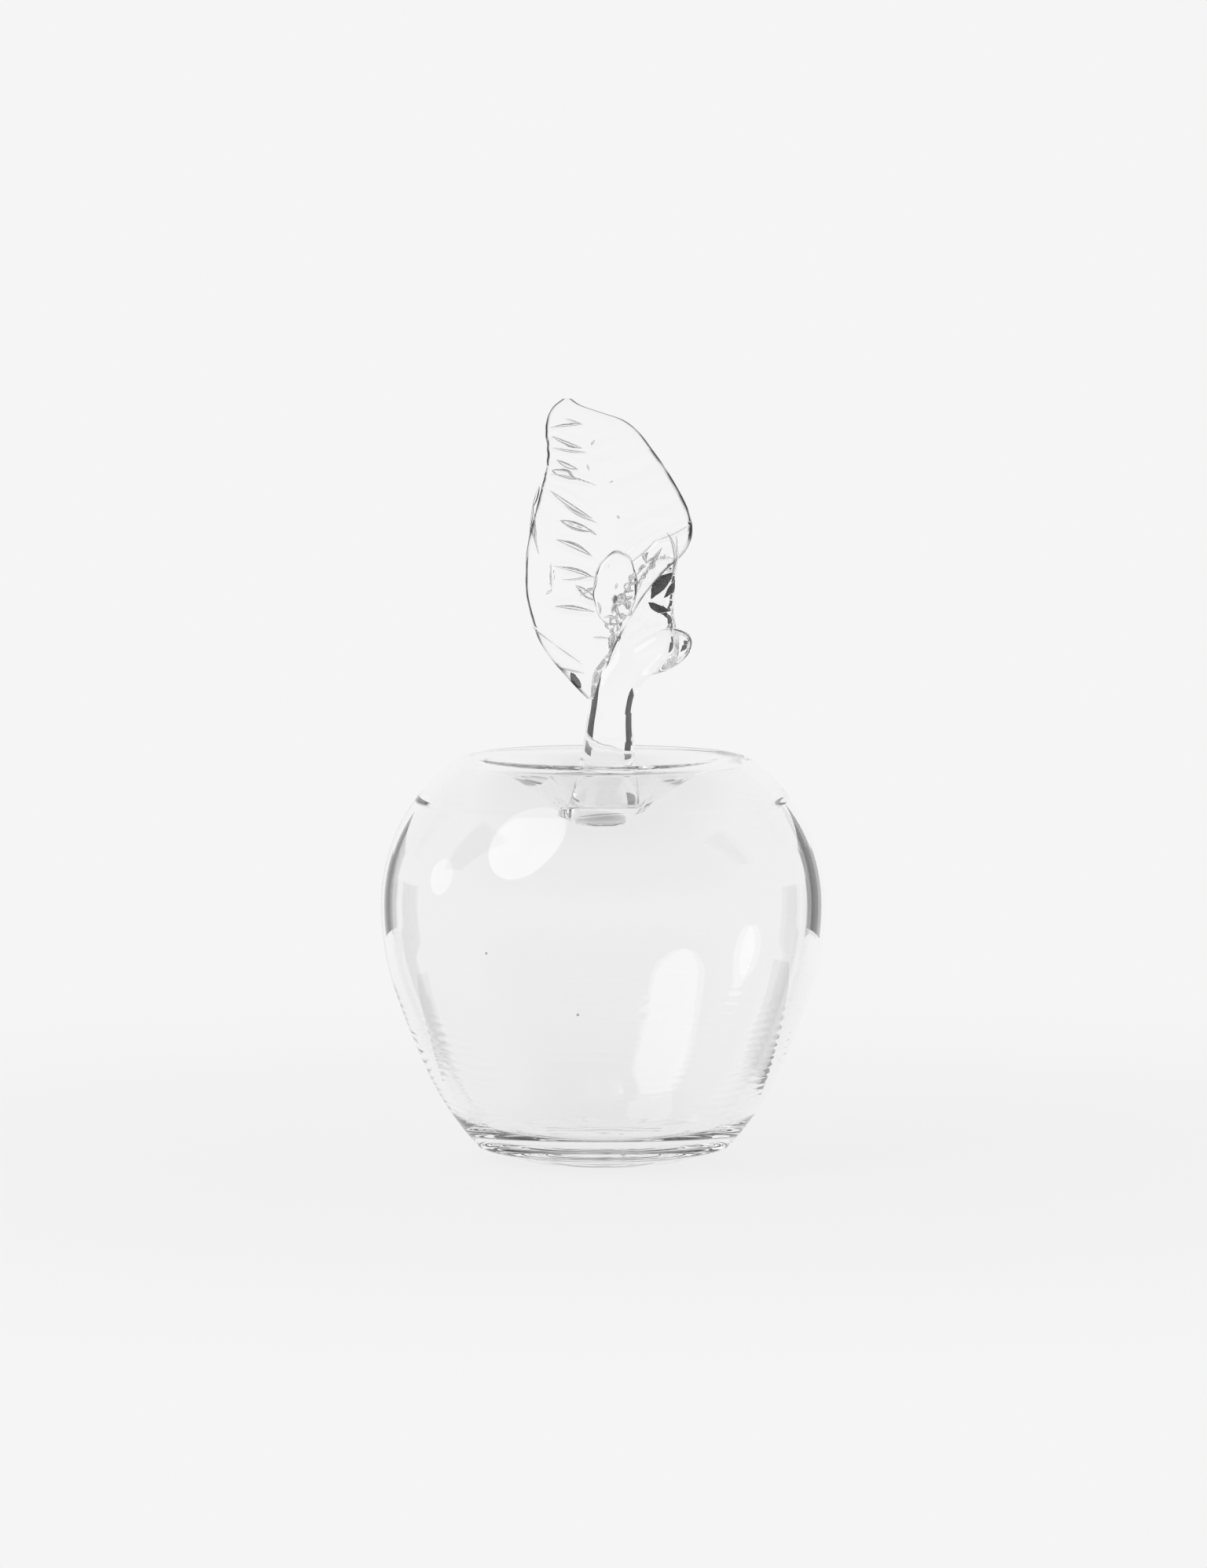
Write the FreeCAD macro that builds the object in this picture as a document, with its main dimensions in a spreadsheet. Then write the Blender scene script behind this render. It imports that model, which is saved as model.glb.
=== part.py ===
import FreeCAD, Part
import math
import os
import Sketcher
from FreeCAD import Placement, Rotation, Vector

# An art glass apple in clear, hand-worked glass, in millimetres. It stands on
# the ring of its ground foot with the origin at the middle of that ring, +Z up
# and its leaf facing -Y. The blown apple is a hollow shell with an open throat
# at the bottom of its dimple. The stem's spigot shuts the throat, its foot
# rests on the seat round it, and its upper end is drawn to the right into a
# rounded lobe. The pressed leaf stands on the stem's left side, and a small bit
# of glass on its face marks where it was joined. All four stay where they are.

TURN = 360.0
QUARTER = TURN / 4

# Each size has its alias, its value and a note. Lengths are millimetres and
# angles are degrees. Names that end in share are parts of another size.
SIZES = (
    ("foot_radius", 18.5, "outer edge of the ring that the apple stands on"),
    ("underside_angle", 15.6, "rise of the underside from the foot to the heel"),
    ("underside_length", 9.5, "from the foot's edge to the heel's round"),
    ("heel_radius", 2.0, "round between underside and lower wall"),
    ("tuck_radius", 66.0, "lower wall, just above the heel"),
    ("tuck_turn", 17.9, "how far the tuck turns"),
    ("wall_radius", 194.0, "nearly straight wall above the tuck"),
    ("wall_turn", 5.4, "how far the straight wall turns"),
    ("belly_radius", 62.0, "profile radius below the widest place"),
    ("belly_turn", 19.1, "how far the belly turns up to the widest place"),
    ("upper_radius", 39.9, "profile radius above the widest place"),
    ("upper_turn", 54.1, "how far the upper wall turns in"),
    ("shoulder_radius", 6.5, "round from the upper wall to the crest"),
    ("lip_radius", 9.0, "round from the crest down into the dimple"),
    ("seat_radius", 8.5, "flat at the bottom of the dimple"),
    ("seat_height", 81.0, "from the foot to the seat"),
    ("shell_wall", 3.2, "thickness of the blown wall"),
    ("seat_wall", 5.0, "glass between the seat and the hollow"),
    ("throat_radius", 4.5, "opening left by the blowing iron"),
    ("bowl_radius", 15.0, "round from the inner wall to the floor"),
    ("floor_height", 5.0, "from the foot to the hollow's floor"),
    ("punt_radius", 17.0, "ground and polished hollow under the foot"),
    ("punt_depth", 1.2, "depth of the polished hollow"),
    ("cut_overrun", 2.0, "how far a cut runs past the face it leaves"),
    ("fit_gap", 0.3, "play between parts that were fused hot"),
    ("stem_radius", 5.05, "thinnest place of the stem"),
    ("stem_height", 55.0, "from the seat to the stem's upper end"),
    ("stem_bend", 14.2, "how far the upper end leans to the right"),
    ("lobe_length", 16.4, "rounded lobe at the stem's right side"),
    ("lobe_width", 9.4, "lobe, across its length"),
    ("lobe_depth", 8.4, "lobe, from front to back"),
    ("lobe_height", 33.5, "from the seat to the lobe's middle"),
    ("lobe_reach", 12.3, "from the axis to the lobe's middle"),
    ("lobe_forward", 0.8, "how far the lobe lies in front of the axis"),
    ("lobe_tilt", 22.0, "rise of the lobe to the right"),
    ("leaf_length", 67.2, "from the leaf's root to its tip"),
    ("leaf_width", 37.5, "widest place of the leaf"),
    ("leaf_thickness", 4.6, "pressed glass at the midrib"),
    ("leaf_root_height", 23.0, "from the seat to the leaf's root"),
    ("leaf_root_offset", 1.2, "from the axis to the leaf's middle line"),
    ("leaf_forward", 2.2, "how far the leaf stands in front of the axis"),
    ("leaf_lean", 4.0, "how far the tip leans back"),
    ("vein_radius", 2.2, "round bottom of a pressed side vein"),
    ("vein_depth", 0.6, "how deep a side vein is pressed into the leaf's face"),
    ("vein_angle", 58.0, "from upright to the run of a side vein"),
    ("bit_length", 16.6, "bit of glass on the leaf's face"),
    ("bit_width", 9.4, "the bit, across"),
    ("bit_depth", 7.6, "the bit, from front to back"),
    ("bit_height", 48.0, "from the seat to the bit's middle"),
    ("bit_reach", 2.6, "from the axis to the bit's middle"),
    ("bit_forward", 4.6, "how far the bit's middle lies in front of the axis"),
)

# Stem sections from foot to upper end: share of the stem's height, share of its
# bend, then half width, half depth and backward shift as shares of its radius.
STEM_SHARES = (
    (0.070, 0.040, 1.46, 1.46, 0.00),
    (0.160, 0.070, 1.27, 1.27, 0.00),
    (0.240, 0.090, 1.15, 1.15, 0.00),
    (0.310, 0.100, 1.06, 1.06, 0.00),
    (0.385, 0.130, 1.01, 1.00, 0.00),
    (0.465, 0.200, 1.12, 1.00, 0.04),
    (0.530, 0.360, 1.46, 0.94, 0.12),
    (0.600, 0.560, 1.60, 0.84, 0.22),
    (0.680, 0.640, 1.48, 0.74, 0.30),
    (0.780, 0.700, 1.18, 0.62, 0.34),
    (0.880, 0.820, 0.90, 0.52, 0.36),
    (0.950, 0.910, 0.66, 0.44, 0.37),
    (0.985, 0.970, 0.42, 0.31, 0.38),
    (1.000, 1.000, 0.16, 0.14, 0.38),
)

# Leaf sections from root to tip: share of the leaf's length, its left and right
# edge as shares of its width, and its share of the full thickness.
LEAF_SHARES = (
    (0.000, -0.130, -0.060, 0.50),
    (0.040, -0.200, -0.025, 0.66),
    (0.090, -0.280, -0.008, 0.80),
    (0.140, -0.355, 0.013, 0.90),
    (0.200, -0.422, 0.060, 0.97),
    (0.270, -0.463, 0.132, 1.00),
    (0.345, -0.494, 0.212, 1.00),
    (0.420, -0.500, 0.325, 1.00),
    (0.490, -0.493, 0.455, 0.98),
    (0.555, -0.472, 0.500, 0.96),
    (0.630, -0.437, 0.476, 0.93),
    (0.710, -0.401, 0.405, 0.89),
    (0.775, -0.374, 0.333, 0.85),
    (0.835, -0.370, 0.256, 0.80),
    (0.890, -0.380, 0.178, 0.75),
    (0.930, -0.372, 0.085, 0.69),
    (0.955, -0.355, -0.045, 0.62),
    (0.978, -0.326, -0.165, 0.54),
    (1.000, -0.275, -0.225, 0.32),
)

# Pressed side veins: share of the leaf's length where each leaves the midrib.
LEFT_VEIN_SHARES = (0.13, 0.25, 0.37, 0.49, 0.61, 0.73)
RIGHT_VEIN_SHARES = (0.27, 0.39, 0.51, 0.63, 0.75)
MIDRIB_SHARE = -0.08
MIDRIB_GAP_SHARE = 0.05
SLIM_SHARE = 0.97
RIM_SHARE = 0.28
LEAF_ROOT = "Sizes.seat_height + Sizes.leaf_root_height"


def make_sheet(doc):
    """Writes the driving sizes to a sheet and gives it back with their values."""
    sheet = doc.addObject("Spreadsheet::Sheet", "Sizes")
    for row, (alias, value, note) in enumerate(SIZES, start=1):
        sheet.set(f"A{row}", note)
        sheet.set(f"B{row}", str(value))
        sheet.setAlias(f"B{row}", alias)
    doc.recompute()
    return sheet, {alias: float(sheet.get(alias)) for alias, _, _ in SIZES}


def origin_plane(body, role):
    """One of the body's own origin planes or axes, found by its role."""
    for feature in body.Origin.OriginFeatures:
        if feature.Role == role:
            return feature
    raise ValueError(f"no {role} in {body.Label}")


def attached_sketch(body, name):
    """An empty sketch on the body's upright plane, where x is radius and y is height."""
    sketch = body.newObject("Sketcher::SketchObject", name)
    sketch.AttachmentSupport = (origin_plane(body, "XZ_Plane"), [""])
    sketch.MapMode = "FlatFace"
    return sketch


class Outline:
    """A chain of lines and arcs, drawn by radius and turn and held by constraints."""

    def __init__(self, sketch, start, heading=0.0):
        self.sketch = sketch
        self.point = start
        self.heading = heading
        self.last = None
        self.first = None

    def direction(self):
        """The way that the chain runs now."""
        angle = math.radians(self.heading)
        return Vector(math.cos(angle), math.sin(angle))

    def bind(self, kind, target, value, formula):
        """Adds a constraint and, with a formula, binds it to the sheet."""
        index = self.sketch.addConstraint(Sketcher.Constraint(kind, *target, value))
        if formula:
            self.sketch.setExpression(f"Constraints[{index}]", formula)
        return index

    def join(self, item, smooth, end=1):
        """Joins a new item's end to the last item, in line with it where smooth."""
        if self.last is not None:
            old, old_end = self.last
            kind = "Tangent" if smooth else "Coincident"
            self.sketch.addConstraint(Sketcher.Constraint(kind, old, old_end, item, end))
        if self.first is None:
            self.first = item

    def line_to(self, end, smooth=False):
        """A straight line to a point."""
        item = self.sketch.addGeometry(Part.LineSegment(self.point, end), False)
        self.join(item, smooth)
        self.heading = math.degrees(math.atan2(end.y - self.point.y, end.x - self.point.x))
        self.point = end
        self.last = (item, 2)
        return item

    def line(self, length, formula=None, smooth=False):
        """A straight line of a given length along the heading."""
        item = self.line_to(self.point + self.direction() * length, smooth)
        if formula:
            self.bind("Distance", (item,), length, formula)
        return item

    def arc(self, radius, turn, radius_formula=None, turn_formula=None, smooth=True):
        """An arc that turns to the left, or to the right where its turn is below zero."""
        side = math.copysign(1, turn)
        centre = self.point + Vector(-self.direction().y, self.direction().x) * radius * side
        start = math.radians(self.heading) - side * math.pi / 2
        circle = Part.Circle(centre, Vector(0, 0, 1), radius)
        arc = Part.ArcOfCircle(circle, *sorted((start, start + math.radians(turn))))
        item = self.sketch.addGeometry(arc, False)
        near, far = (1, 2) if turn > 0 else (2, 1)
        self.join(item, smooth, near)
        if radius_formula:
            self.bind("Radius", (item,), radius, radius_formula)
        if turn_formula:
            self.bind("Angle", (item,), math.radians(turn), turn_formula)
        self.heading += turn
        self.point = arc.EndPoint if turn > 0 else arc.StartPoint
        self.last = (item, far)
        return item

    def close(self):
        """Joins the chain's end to its start."""
        item, end = self.last
        self.sketch.addConstraint(Sketcher.Constraint("Coincident", item, end, self.first, 1))


def tangent_turn(point, heading, radius, target):
    """How far an arc turns before a straight run in line with it meets the target.

    It turns left, or right where the target lies on that side, as a turn below zero.
    """
    angle = math.radians(heading)
    left = Vector(-math.sin(angle), math.cos(angle))
    side = math.copysign(1, left.dot(target - point))
    away = target - (point + left * radius * side)
    bearing = math.atan2(away.y, away.x)
    touch = bearing - side * math.acos(radius / away.Length)
    start = angle - side * math.pi / 2
    return side * (math.degrees(side * (touch - start)) % TURN)


def revolve(body, kind, sketch, name):
    """A full revolution or groove of a sketch about the upright axis."""
    feature = body.newObject(kind, name)
    feature.Profile = (sketch, [""])
    feature.ReferenceAxis = (sketch, ["V_Axis"])
    feature.Angle = TURN
    body.Tip = feature
    return feature


def draw_shell_outline(sketch, size):
    """The apple's outside, from the axis over heel, belly and crest into the dimple."""
    outline = Outline(sketch, Vector(0, 0))
    foot = outline.line(size["foot_radius"], "Sizes.foot_radius")
    sketch.addConstraint(Sketcher.Constraint("Coincident", foot, 1, -1, 1))
    sketch.addConstraint(Sketcher.Constraint("Horizontal", foot))
    outline.heading = size["underside_angle"]
    underside = outline.line(size["underside_length"], "Sizes.underside_length")
    angle = math.radians(size["underside_angle"])
    outline.bind("Angle", (underside,), angle, "Sizes.underside_angle * 1 deg")
    wall_turns = size["tuck_turn"] + size["wall_turn"] + size["belly_turn"]
    heel_turn = QUARTER - size["underside_angle"] - wall_turns
    turns = "Sizes.tuck_turn - Sizes.wall_turn - Sizes.belly_turn"
    heel_formula = f"({QUARTER} - Sizes.underside_angle - {turns}) * 1 deg"
    outline.arc(size["heel_radius"], heel_turn, "Sizes.heel_radius", heel_formula)
    for part in ("tuck", "wall", "belly", "upper"):
        radius, turn = f"{part}_radius", f"{part}_turn"
        arc = outline.arc(size[radius], size[turn], f"Sizes.{radius}", f"Sizes.{turn} * 1 deg")
        if part == "tuck":
            tuck = sketch.Geometry[arc].Center
        if part == "belly":
            belly = outline.point
            name_point(sketch, arc, 2, "belly", belly)
    shoulder_turn = QUARTER - size["upper_turn"]
    shoulder_formula = f"({QUARTER} - Sizes.upper_turn) * 1 deg"
    outline.arc(size["shoulder_radius"], shoulder_turn, "Sizes.shoulder_radius", shoulder_formula)
    seat = Vector(size["seat_radius"], size["seat_height"])
    turn = tangent_turn(outline.point, outline.heading, size["lip_radius"], seat)
    outline.arc(size["lip_radius"], turn, "Sizes.lip_radius")
    dimple = outline.line_to(seat, smooth=True)
    outline.bind("DistanceX", (-1, 1, dimple, 2), seat.x, "Sizes.seat_radius")
    outline.bind("DistanceY", (-1, 1, dimple, 2), seat.y, "Sizes.seat_height")
    top = outline.line_to(Vector(0, seat.y))
    sketch.addConstraint(Sketcher.Constraint("Horizontal", top))
    sketch.addConstraint(Sketcher.Constraint("PointOnObject", top, 2, -2))
    outline.line_to(Vector(0, 0))
    outline.close()
    return tuck, belly


def name_point(sketch, item, end, name, point):
    """Names a point's radius and height, so that the hollow can follow them."""
    for kind, word, value in (("DistanceX", "reach", point.x), ("DistanceY", "rise", point.y)):
        index = sketch.addConstraint(Sketcher.Constraint(kind, -1, 1, item, end, value))
        sketch.setDriving(index, False)
        sketch.renameConstraint(index, f"{name}_{word}")


def draw_hollow_outline(sketch, size, tuck, belly):
    """The blown hollow, one wall inside the outside, with its bowl, funnel and throat."""
    wall = size["shell_wall"]
    bowl = size["bowl_radius"]
    floor = size["floor_height"]
    inner_tuck = size["tuck_radius"] - wall
    drop = floor + bowl - tuck.y
    reach = tuck.x + math.sqrt((inner_tuck - bowl) ** 2 - drop ** 2)
    bowl_angle = math.degrees(math.atan2(drop, reach - tuck.x))
    outline = Outline(sketch, Vector(0, floor))
    base = outline.line(reach)
    sketch.addConstraint(Sketcher.Constraint("Horizontal", base))
    sketch.addConstraint(Sketcher.Constraint("PointOnObject", base, 1, -2))
    outline.bind("DistanceY", (-1, 1, base, 1), floor, "Sizes.floor_height")
    outline.arc(bowl, QUARTER + bowl_angle, "Sizes.bowl_radius")
    wall_start = -size["wall_turn"] - size["belly_turn"]
    outline.arc(inner_tuck, wall_start - bowl_angle, "Sizes.tuck_radius - Sizes.shell_wall")
    for part in ("wall", "belly", "upper"):
        radius, turn = f"{part}_radius", f"{part}_turn"
        formula = f"Sizes.{radius} - Sizes.shell_wall"
        arc = outline.arc(size[radius] - wall, size[turn], formula, f"Sizes.{turn} * 1 deg")
        if part == "belly":
            shell = "shell_outline.Constraints"
            reach_formula = f"{shell}.belly_reach - Sizes.shell_wall * 1 mm"
            outline.bind("DistanceX", (-1, 1, arc, 2), belly.x - wall, reach_formula)
            outline.bind("DistanceY", (-1, 1, arc, 2), belly.y, f"{shell}.belly_rise")
    shoulder_formula = f"({QUARTER} - Sizes.upper_turn) * 1 deg"
    shoulder = size["shoulder_radius"] - wall
    shoulder_turn = QUARTER - size["upper_turn"]
    outline.arc(shoulder, shoulder_turn, "Sizes.shoulder_radius - Sizes.shell_wall", shoulder_formula)
    rim = Vector(size["throat_radius"] + size["seat_wall"] * RIM_SHARE, size["seat_height"] - size["seat_wall"])
    lip = size["lip_radius"] - wall
    turn = tangent_turn(outline.point, outline.heading, lip, rim)
    outline.arc(lip, turn, "Sizes.lip_radius - Sizes.shell_wall")
    funnel = outline.line_to(rim, smooth=True)
    rim_formula = f"Sizes.throat_radius + Sizes.seat_wall * {RIM_SHARE}"
    outline.bind("DistanceX", (-1, 1, funnel, 2), rim.x, rim_formula)
    outline.bind("DistanceY", (-1, 1, funnel, 2), rim.y, "Sizes.seat_height - Sizes.seat_wall")
    under = outline.line_to(Vector(size["throat_radius"], rim.y))
    sketch.addConstraint(Sketcher.Constraint("Horizontal", under))
    outline.bind("DistanceX", (-1, 1, under, 2), size["throat_radius"], "Sizes.throat_radius")
    throat = outline.line_to(Vector(size["throat_radius"], size["seat_height"] + size["cut_overrun"]))
    sketch.addConstraint(Sketcher.Constraint("Vertical", throat))
    outline.bind("DistanceY", (-1, 1, throat, 2), outline.point.y, "Sizes.seat_height + Sizes.cut_overrun")
    lid = outline.line_to(Vector(0, outline.point.y))
    sketch.addConstraint(Sketcher.Constraint("Horizontal", lid))
    sketch.addConstraint(Sketcher.Constraint("PointOnObject", lid, 2, -2))
    outline.line_to(Vector(0, floor))
    outline.close()


def draw_punt_outline(sketch, size):
    """The shallow polished hollow under the foot."""
    radius, depth, overrun = size["punt_radius"], size["punt_depth"], size["cut_overrun"]
    sphere = (radius ** 2 + depth ** 2) / (2 * depth)
    outline = Outline(sketch, Vector(0, -overrun))
    base = outline.line(radius, "Sizes.punt_radius")
    sketch.addConstraint(Sketcher.Constraint("Horizontal", base))
    sketch.addConstraint(Sketcher.Constraint("PointOnObject", base, 1, -2))
    outline.bind("DistanceY", (base, 1, -1, 1), overrun, "Sizes.cut_overrun")
    side = outline.line_to(Vector(radius, 0))
    sketch.addConstraint(Sketcher.Constraint("Vertical", side))
    sketch.addConstraint(Sketcher.Constraint("PointOnObject", side, 2, -1))
    turn = math.degrees(math.asin(radius / sphere))
    outline.heading = QUARTER * 2 - turn
    hollow = outline.arc(sphere, turn, smooth=False)
    sketch.addConstraint(Sketcher.Constraint("PointOnObject", hollow, 3, -2))
    sketch.addConstraint(Sketcher.Constraint("PointOnObject", hollow, 2, -2))
    outline.bind("DistanceY", (-1, 1, hollow, 2), depth, "Sizes.punt_depth")
    outline.line_to(Vector(0, -overrun))
    outline.close()


def make_apple(doc, size):
    """The blown shell: turned outside, hollow with its throat, and polished punt."""
    body = doc.addObject("PartDesign::Body", "apple_body")
    body.Label = "apple_body"
    shell_sketch = attached_sketch(body, "shell_outline")
    tuck, belly = draw_shell_outline(shell_sketch, size)
    doc.recompute()
    revolve(body, "PartDesign::Revolution", shell_sketch, "shell")
    doc.recompute()
    solid = body.Shape.Volume
    for name, draw in (("hollow", draw_hollow_outline), ("punt", draw_punt_outline)):
        sketch = attached_sketch(body, f"{name}_outline")
        extra = (tuck, belly) if name == "hollow" else ()
        draw(sketch, size, *extra)
        doc.recompute()
        revolve(body, "PartDesign::Groove", sketch, name)
        doc.recompute()
        if body.Shape.Volume >= solid:
            raise RuntimeError(f"{name} removed no glass")
        solid = body.Shape.Volume
    return body


def bound(item, formulas):
    """Binds an object's sizes to the sheet."""
    for name, formula in formulas.items():
        item.setExpression(name, formula)
    return item


def make_stem_shaft(doc):
    """The drawn rod, a loft from its foot through its waist to the bent upper end."""
    foot = bound(doc.addObject("Part::Ellipse", "stem_foot"), {
        "MajorRadius": "Sizes.seat_radius - Sizes.fit_gap",
        "MinorRadius": "Sizes.seat_radius - Sizes.fit_gap",
        "Placement.Base.z": "Sizes.seat_height",
    })
    sections = [foot]
    for number, (rise, bend, wide, deep, back) in enumerate(STEM_SHARES, start=1):
        sections.append(bound(doc.addObject("Part::Ellipse", f"stem_section_{number}"), {
            "MajorRadius": f"Sizes.stem_radius * {wide}",
            "MinorRadius": f"Sizes.stem_radius * {deep}",
            "Placement.Base.x": f"Sizes.stem_bend * {bend}",
            "Placement.Base.y": f"Sizes.stem_radius * {back}",
            "Placement.Base.z": f"Sizes.seat_height + Sizes.stem_height * {rise}",
        }))
    shaft = doc.addObject("Part::Loft", "stem_shaft")
    shaft.Sections = sections
    shaft.Solid = True
    shaft.Ruled = False
    return shaft


def make_stem(doc):
    """The stem with its spigot and its lobe. The leaf is pressed into its upper end."""
    shaft = make_stem_shaft(doc)
    spigot = bound(doc.addObject("Part::Cylinder", "stem_spigot"), {
        "Radius": "Sizes.throat_radius - Sizes.fit_gap",
        "Height": "Sizes.seat_wall + Sizes.cut_overrun",
        "Placement.Base.z": "Sizes.seat_height - Sizes.seat_wall",
    })
    lobe = bound(doc.addObject("Part::Ellipsoid", "stem_lobe"), {
        "Radius1": "Sizes.lobe_width / 2",
        "Radius2": "Sizes.lobe_length / 2",
        "Radius3": "Sizes.lobe_depth / 2",
        "Placement.Base.x": "Sizes.lobe_reach",
        "Placement.Base.y": "-Sizes.lobe_forward",
        "Placement.Base.z": "Sizes.seat_height + Sizes.lobe_height",
        "Placement.Rotation.Angle": "Sizes.lobe_tilt",
    })
    lobe.Placement = Placement(Vector(), Rotation(Vector(0, -1, 0), 1))
    stem = doc.addObject("Part::MultiFuse", "stem")
    stem.Label = "stem"
    stem.Shapes = [shaft, spigot, lobe]
    return stem


def make_blade(doc):
    """The leaf before its veins are pressed, a loft from its root to its tip."""
    sections = []
    for number, (rise, left, right, thick) in enumerate(LEAF_SHARES, start=1):
        wide = f"Sizes.leaf_width * {(right - left) / 2}"
        sections.append(bound(doc.addObject("Part::Ellipse", f"leaf_section_{number}"), {
            "MajorRadius": wide,
            "MinorRadius": f"min(Sizes.leaf_thickness * {thick / 2}; {wide} * {SLIM_SHARE})",
            "Placement.Base.x": f"Sizes.leaf_root_offset + Sizes.leaf_width * {(left + right) / 2}",
            "Placement.Base.y": f"Sizes.leaf_lean * {rise ** 2} - Sizes.leaf_forward",
            "Placement.Base.z": f"{LEAF_ROOT} + Sizes.leaf_length * {rise}",
        }))
    blade = doc.addObject("Part::Loft", "leaf_blade")
    blade.Sections = sections
    blade.Solid = True
    blade.Ruled = False
    return blade


def make_vein(doc, side, number, rise):
    """The round tool of one side vein, from the midrib out and up past the edge."""
    vein = bound(doc.addObject("Part::Cylinder", f"vein_{side}_{number}"), {
        "Radius": "Sizes.vein_radius",
        "Height": "Sizes.leaf_width",
    })
    sign = 1 if side == "right" else -1
    face = f"Sizes.leaf_lean * {rise ** 2} - Sizes.leaf_forward - Sizes.leaf_thickness / 2"
    offset = MIDRIB_SHARE + sign * MIDRIB_GAP_SHARE
    vein.Placement = Placement(Vector(), Rotation(Vector(0, sign, 0), 1))
    return bound(vein, {
        "Placement.Base.x": f"Sizes.leaf_root_offset + Sizes.leaf_width * {offset}",
        "Placement.Base.y": f"{face} - Sizes.vein_radius + Sizes.vein_depth",
        "Placement.Base.z": f"{LEAF_ROOT} + Sizes.leaf_length * {rise}",
        "Placement.Rotation.Angle": "Sizes.vein_angle",
    })


def make_leaf(doc):
    """The pressed leaf: its blade with the side veins cut into its face."""
    veins = doc.addObject("Part::MultiFuse", "leaf_veins")
    veins.Shapes = [
        make_vein(doc, side, number, rise)
        for side, shares in (("left", LEFT_VEIN_SHARES), ("right", RIGHT_VEIN_SHARES))
        for number, rise in enumerate(shares, start=1)
    ]
    leaf = doc.addObject("Part::Cut", "leaf")
    leaf.Label = "leaf"
    leaf.Base = make_blade(doc)
    leaf.Tool = veins
    return leaf


def make_weld_bit(doc, leaf):
    """The bit of glass on the leaf's face, fitted to the leaf behind it."""
    blob = bound(doc.addObject("Part::Ellipsoid", "bit_blob"), {
        "Radius1": "Sizes.bit_length / 2",
        "Radius2": "Sizes.bit_width / 2",
        "Radius3": "Sizes.bit_depth / 2",
        "Placement.Base.x": "Sizes.bit_reach",
        "Placement.Base.y": "-Sizes.bit_forward",
        "Placement.Base.z": "Sizes.seat_height + Sizes.bit_height",
    })
    bit = doc.addObject("Part::Cut", "leaf_weld_bit")
    bit.Label = "leaf_weld_bit"
    bit.Base = blob
    bit.Tool = leaf
    return bit


def check(doc, parts):
    """Stops if anything in the document failed or a part isn't one valid solid."""
    failed = [item.Label for item in doc.Objects if {"Invalid", "Error"} & set(item.State)]
    if failed:
        raise RuntimeError(f"failed: {', '.join(failed)}")
    for part in parts:
        shape = part.Shape
        if shape.isNull() or not shape.isValid() or len(shape.Solids) != 1:
            raise RuntimeError(f"{part.Label} is not one valid solid: {len(shape.Solids)}")


def main():
    """Builds the document and writes each part to its own file."""
    doc = FreeCAD.newDocument("glass_apple")
    _, size = make_sheet(doc)
    apple = make_apple(doc, size)
    leaf = make_leaf(doc)
    stem = make_stem(doc)
    bit = make_weld_bit(doc, leaf)
    doc.recompute()
    parts = (apple, stem, leaf, bit)
    check(doc, parts)
    os.makedirs("parts", exist_ok=True)
    for part in parts:
        part.Shape.exportStep(f"parts/{part.Label}.step")
        box = part.Shape.BoundBox
        print(part.Label, round(part.Shape.Volume / 1000, 2), "cm3", box)


main()
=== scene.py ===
import logging
import math
from dataclasses import dataclass, field, replace
from enum import Enum

import bmesh
import bpy
from mathutils import Euler, Matrix, Vector, noise
from mathutils.bvhtree import BVHTree


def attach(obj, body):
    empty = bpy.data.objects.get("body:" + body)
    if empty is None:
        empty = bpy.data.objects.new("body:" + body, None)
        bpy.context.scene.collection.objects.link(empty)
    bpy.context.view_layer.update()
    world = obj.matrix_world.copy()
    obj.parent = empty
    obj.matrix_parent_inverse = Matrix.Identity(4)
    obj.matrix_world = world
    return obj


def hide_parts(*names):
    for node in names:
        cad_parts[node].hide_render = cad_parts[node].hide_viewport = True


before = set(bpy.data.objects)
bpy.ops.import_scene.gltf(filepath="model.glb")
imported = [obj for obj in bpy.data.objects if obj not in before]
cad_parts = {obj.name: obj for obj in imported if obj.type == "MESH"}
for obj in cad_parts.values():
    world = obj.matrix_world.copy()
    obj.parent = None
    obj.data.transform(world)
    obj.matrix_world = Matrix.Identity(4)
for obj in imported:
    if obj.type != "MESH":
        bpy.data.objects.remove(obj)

MM = 0.001
LOG = logging.getLogger("glass_apple")
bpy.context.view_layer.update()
# What a skin's points carry: how deep they lie in other glass, and how much painted shade they show, a dark
# line painted in for the dark room that a rim of glass bends to the eye.
BURIED = "buried"
PAINTED_SHADE = "line"
# Millimetres within which two points are one, and within which a face is level with a height.
MERGE_DISTANCE = 1e-4
LEVEL_DISTANCE = 0.01
# How much longer a free curve is than the straight way between its ends.
CURVE_SLACK = 1.15
# The facets of a trapped bead of air, around it and along it.
BEAD_SIDES = 24
BEAD_RINGS = 20
# Keeps a division away from zero.
LEAST = 1e-6


def clamped(value: float) -> float:
    """Keeps a value from zero to one."""
    return min(max(value, 0.0), 1.0)


def linear(hex_colour: str) -> tuple[float, float, float, float]:
    """Turns an sRGB colour into the linear one that a shader reads.

    Args:
        hex_colour: Six hex digits, as in a paint chart.

    Returns:
        Red, green, blue and an alpha of one.
    """
    shares = (int(hex_colour[i:i + 2], 16) / 255 for i in (0, 2, 4))
    parts = (s / 12.92 if s <= 0.04045 else ((s + 0.055) / 1.055) ** 2.4 for s in shares)
    return (*parts, 1.0)


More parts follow.
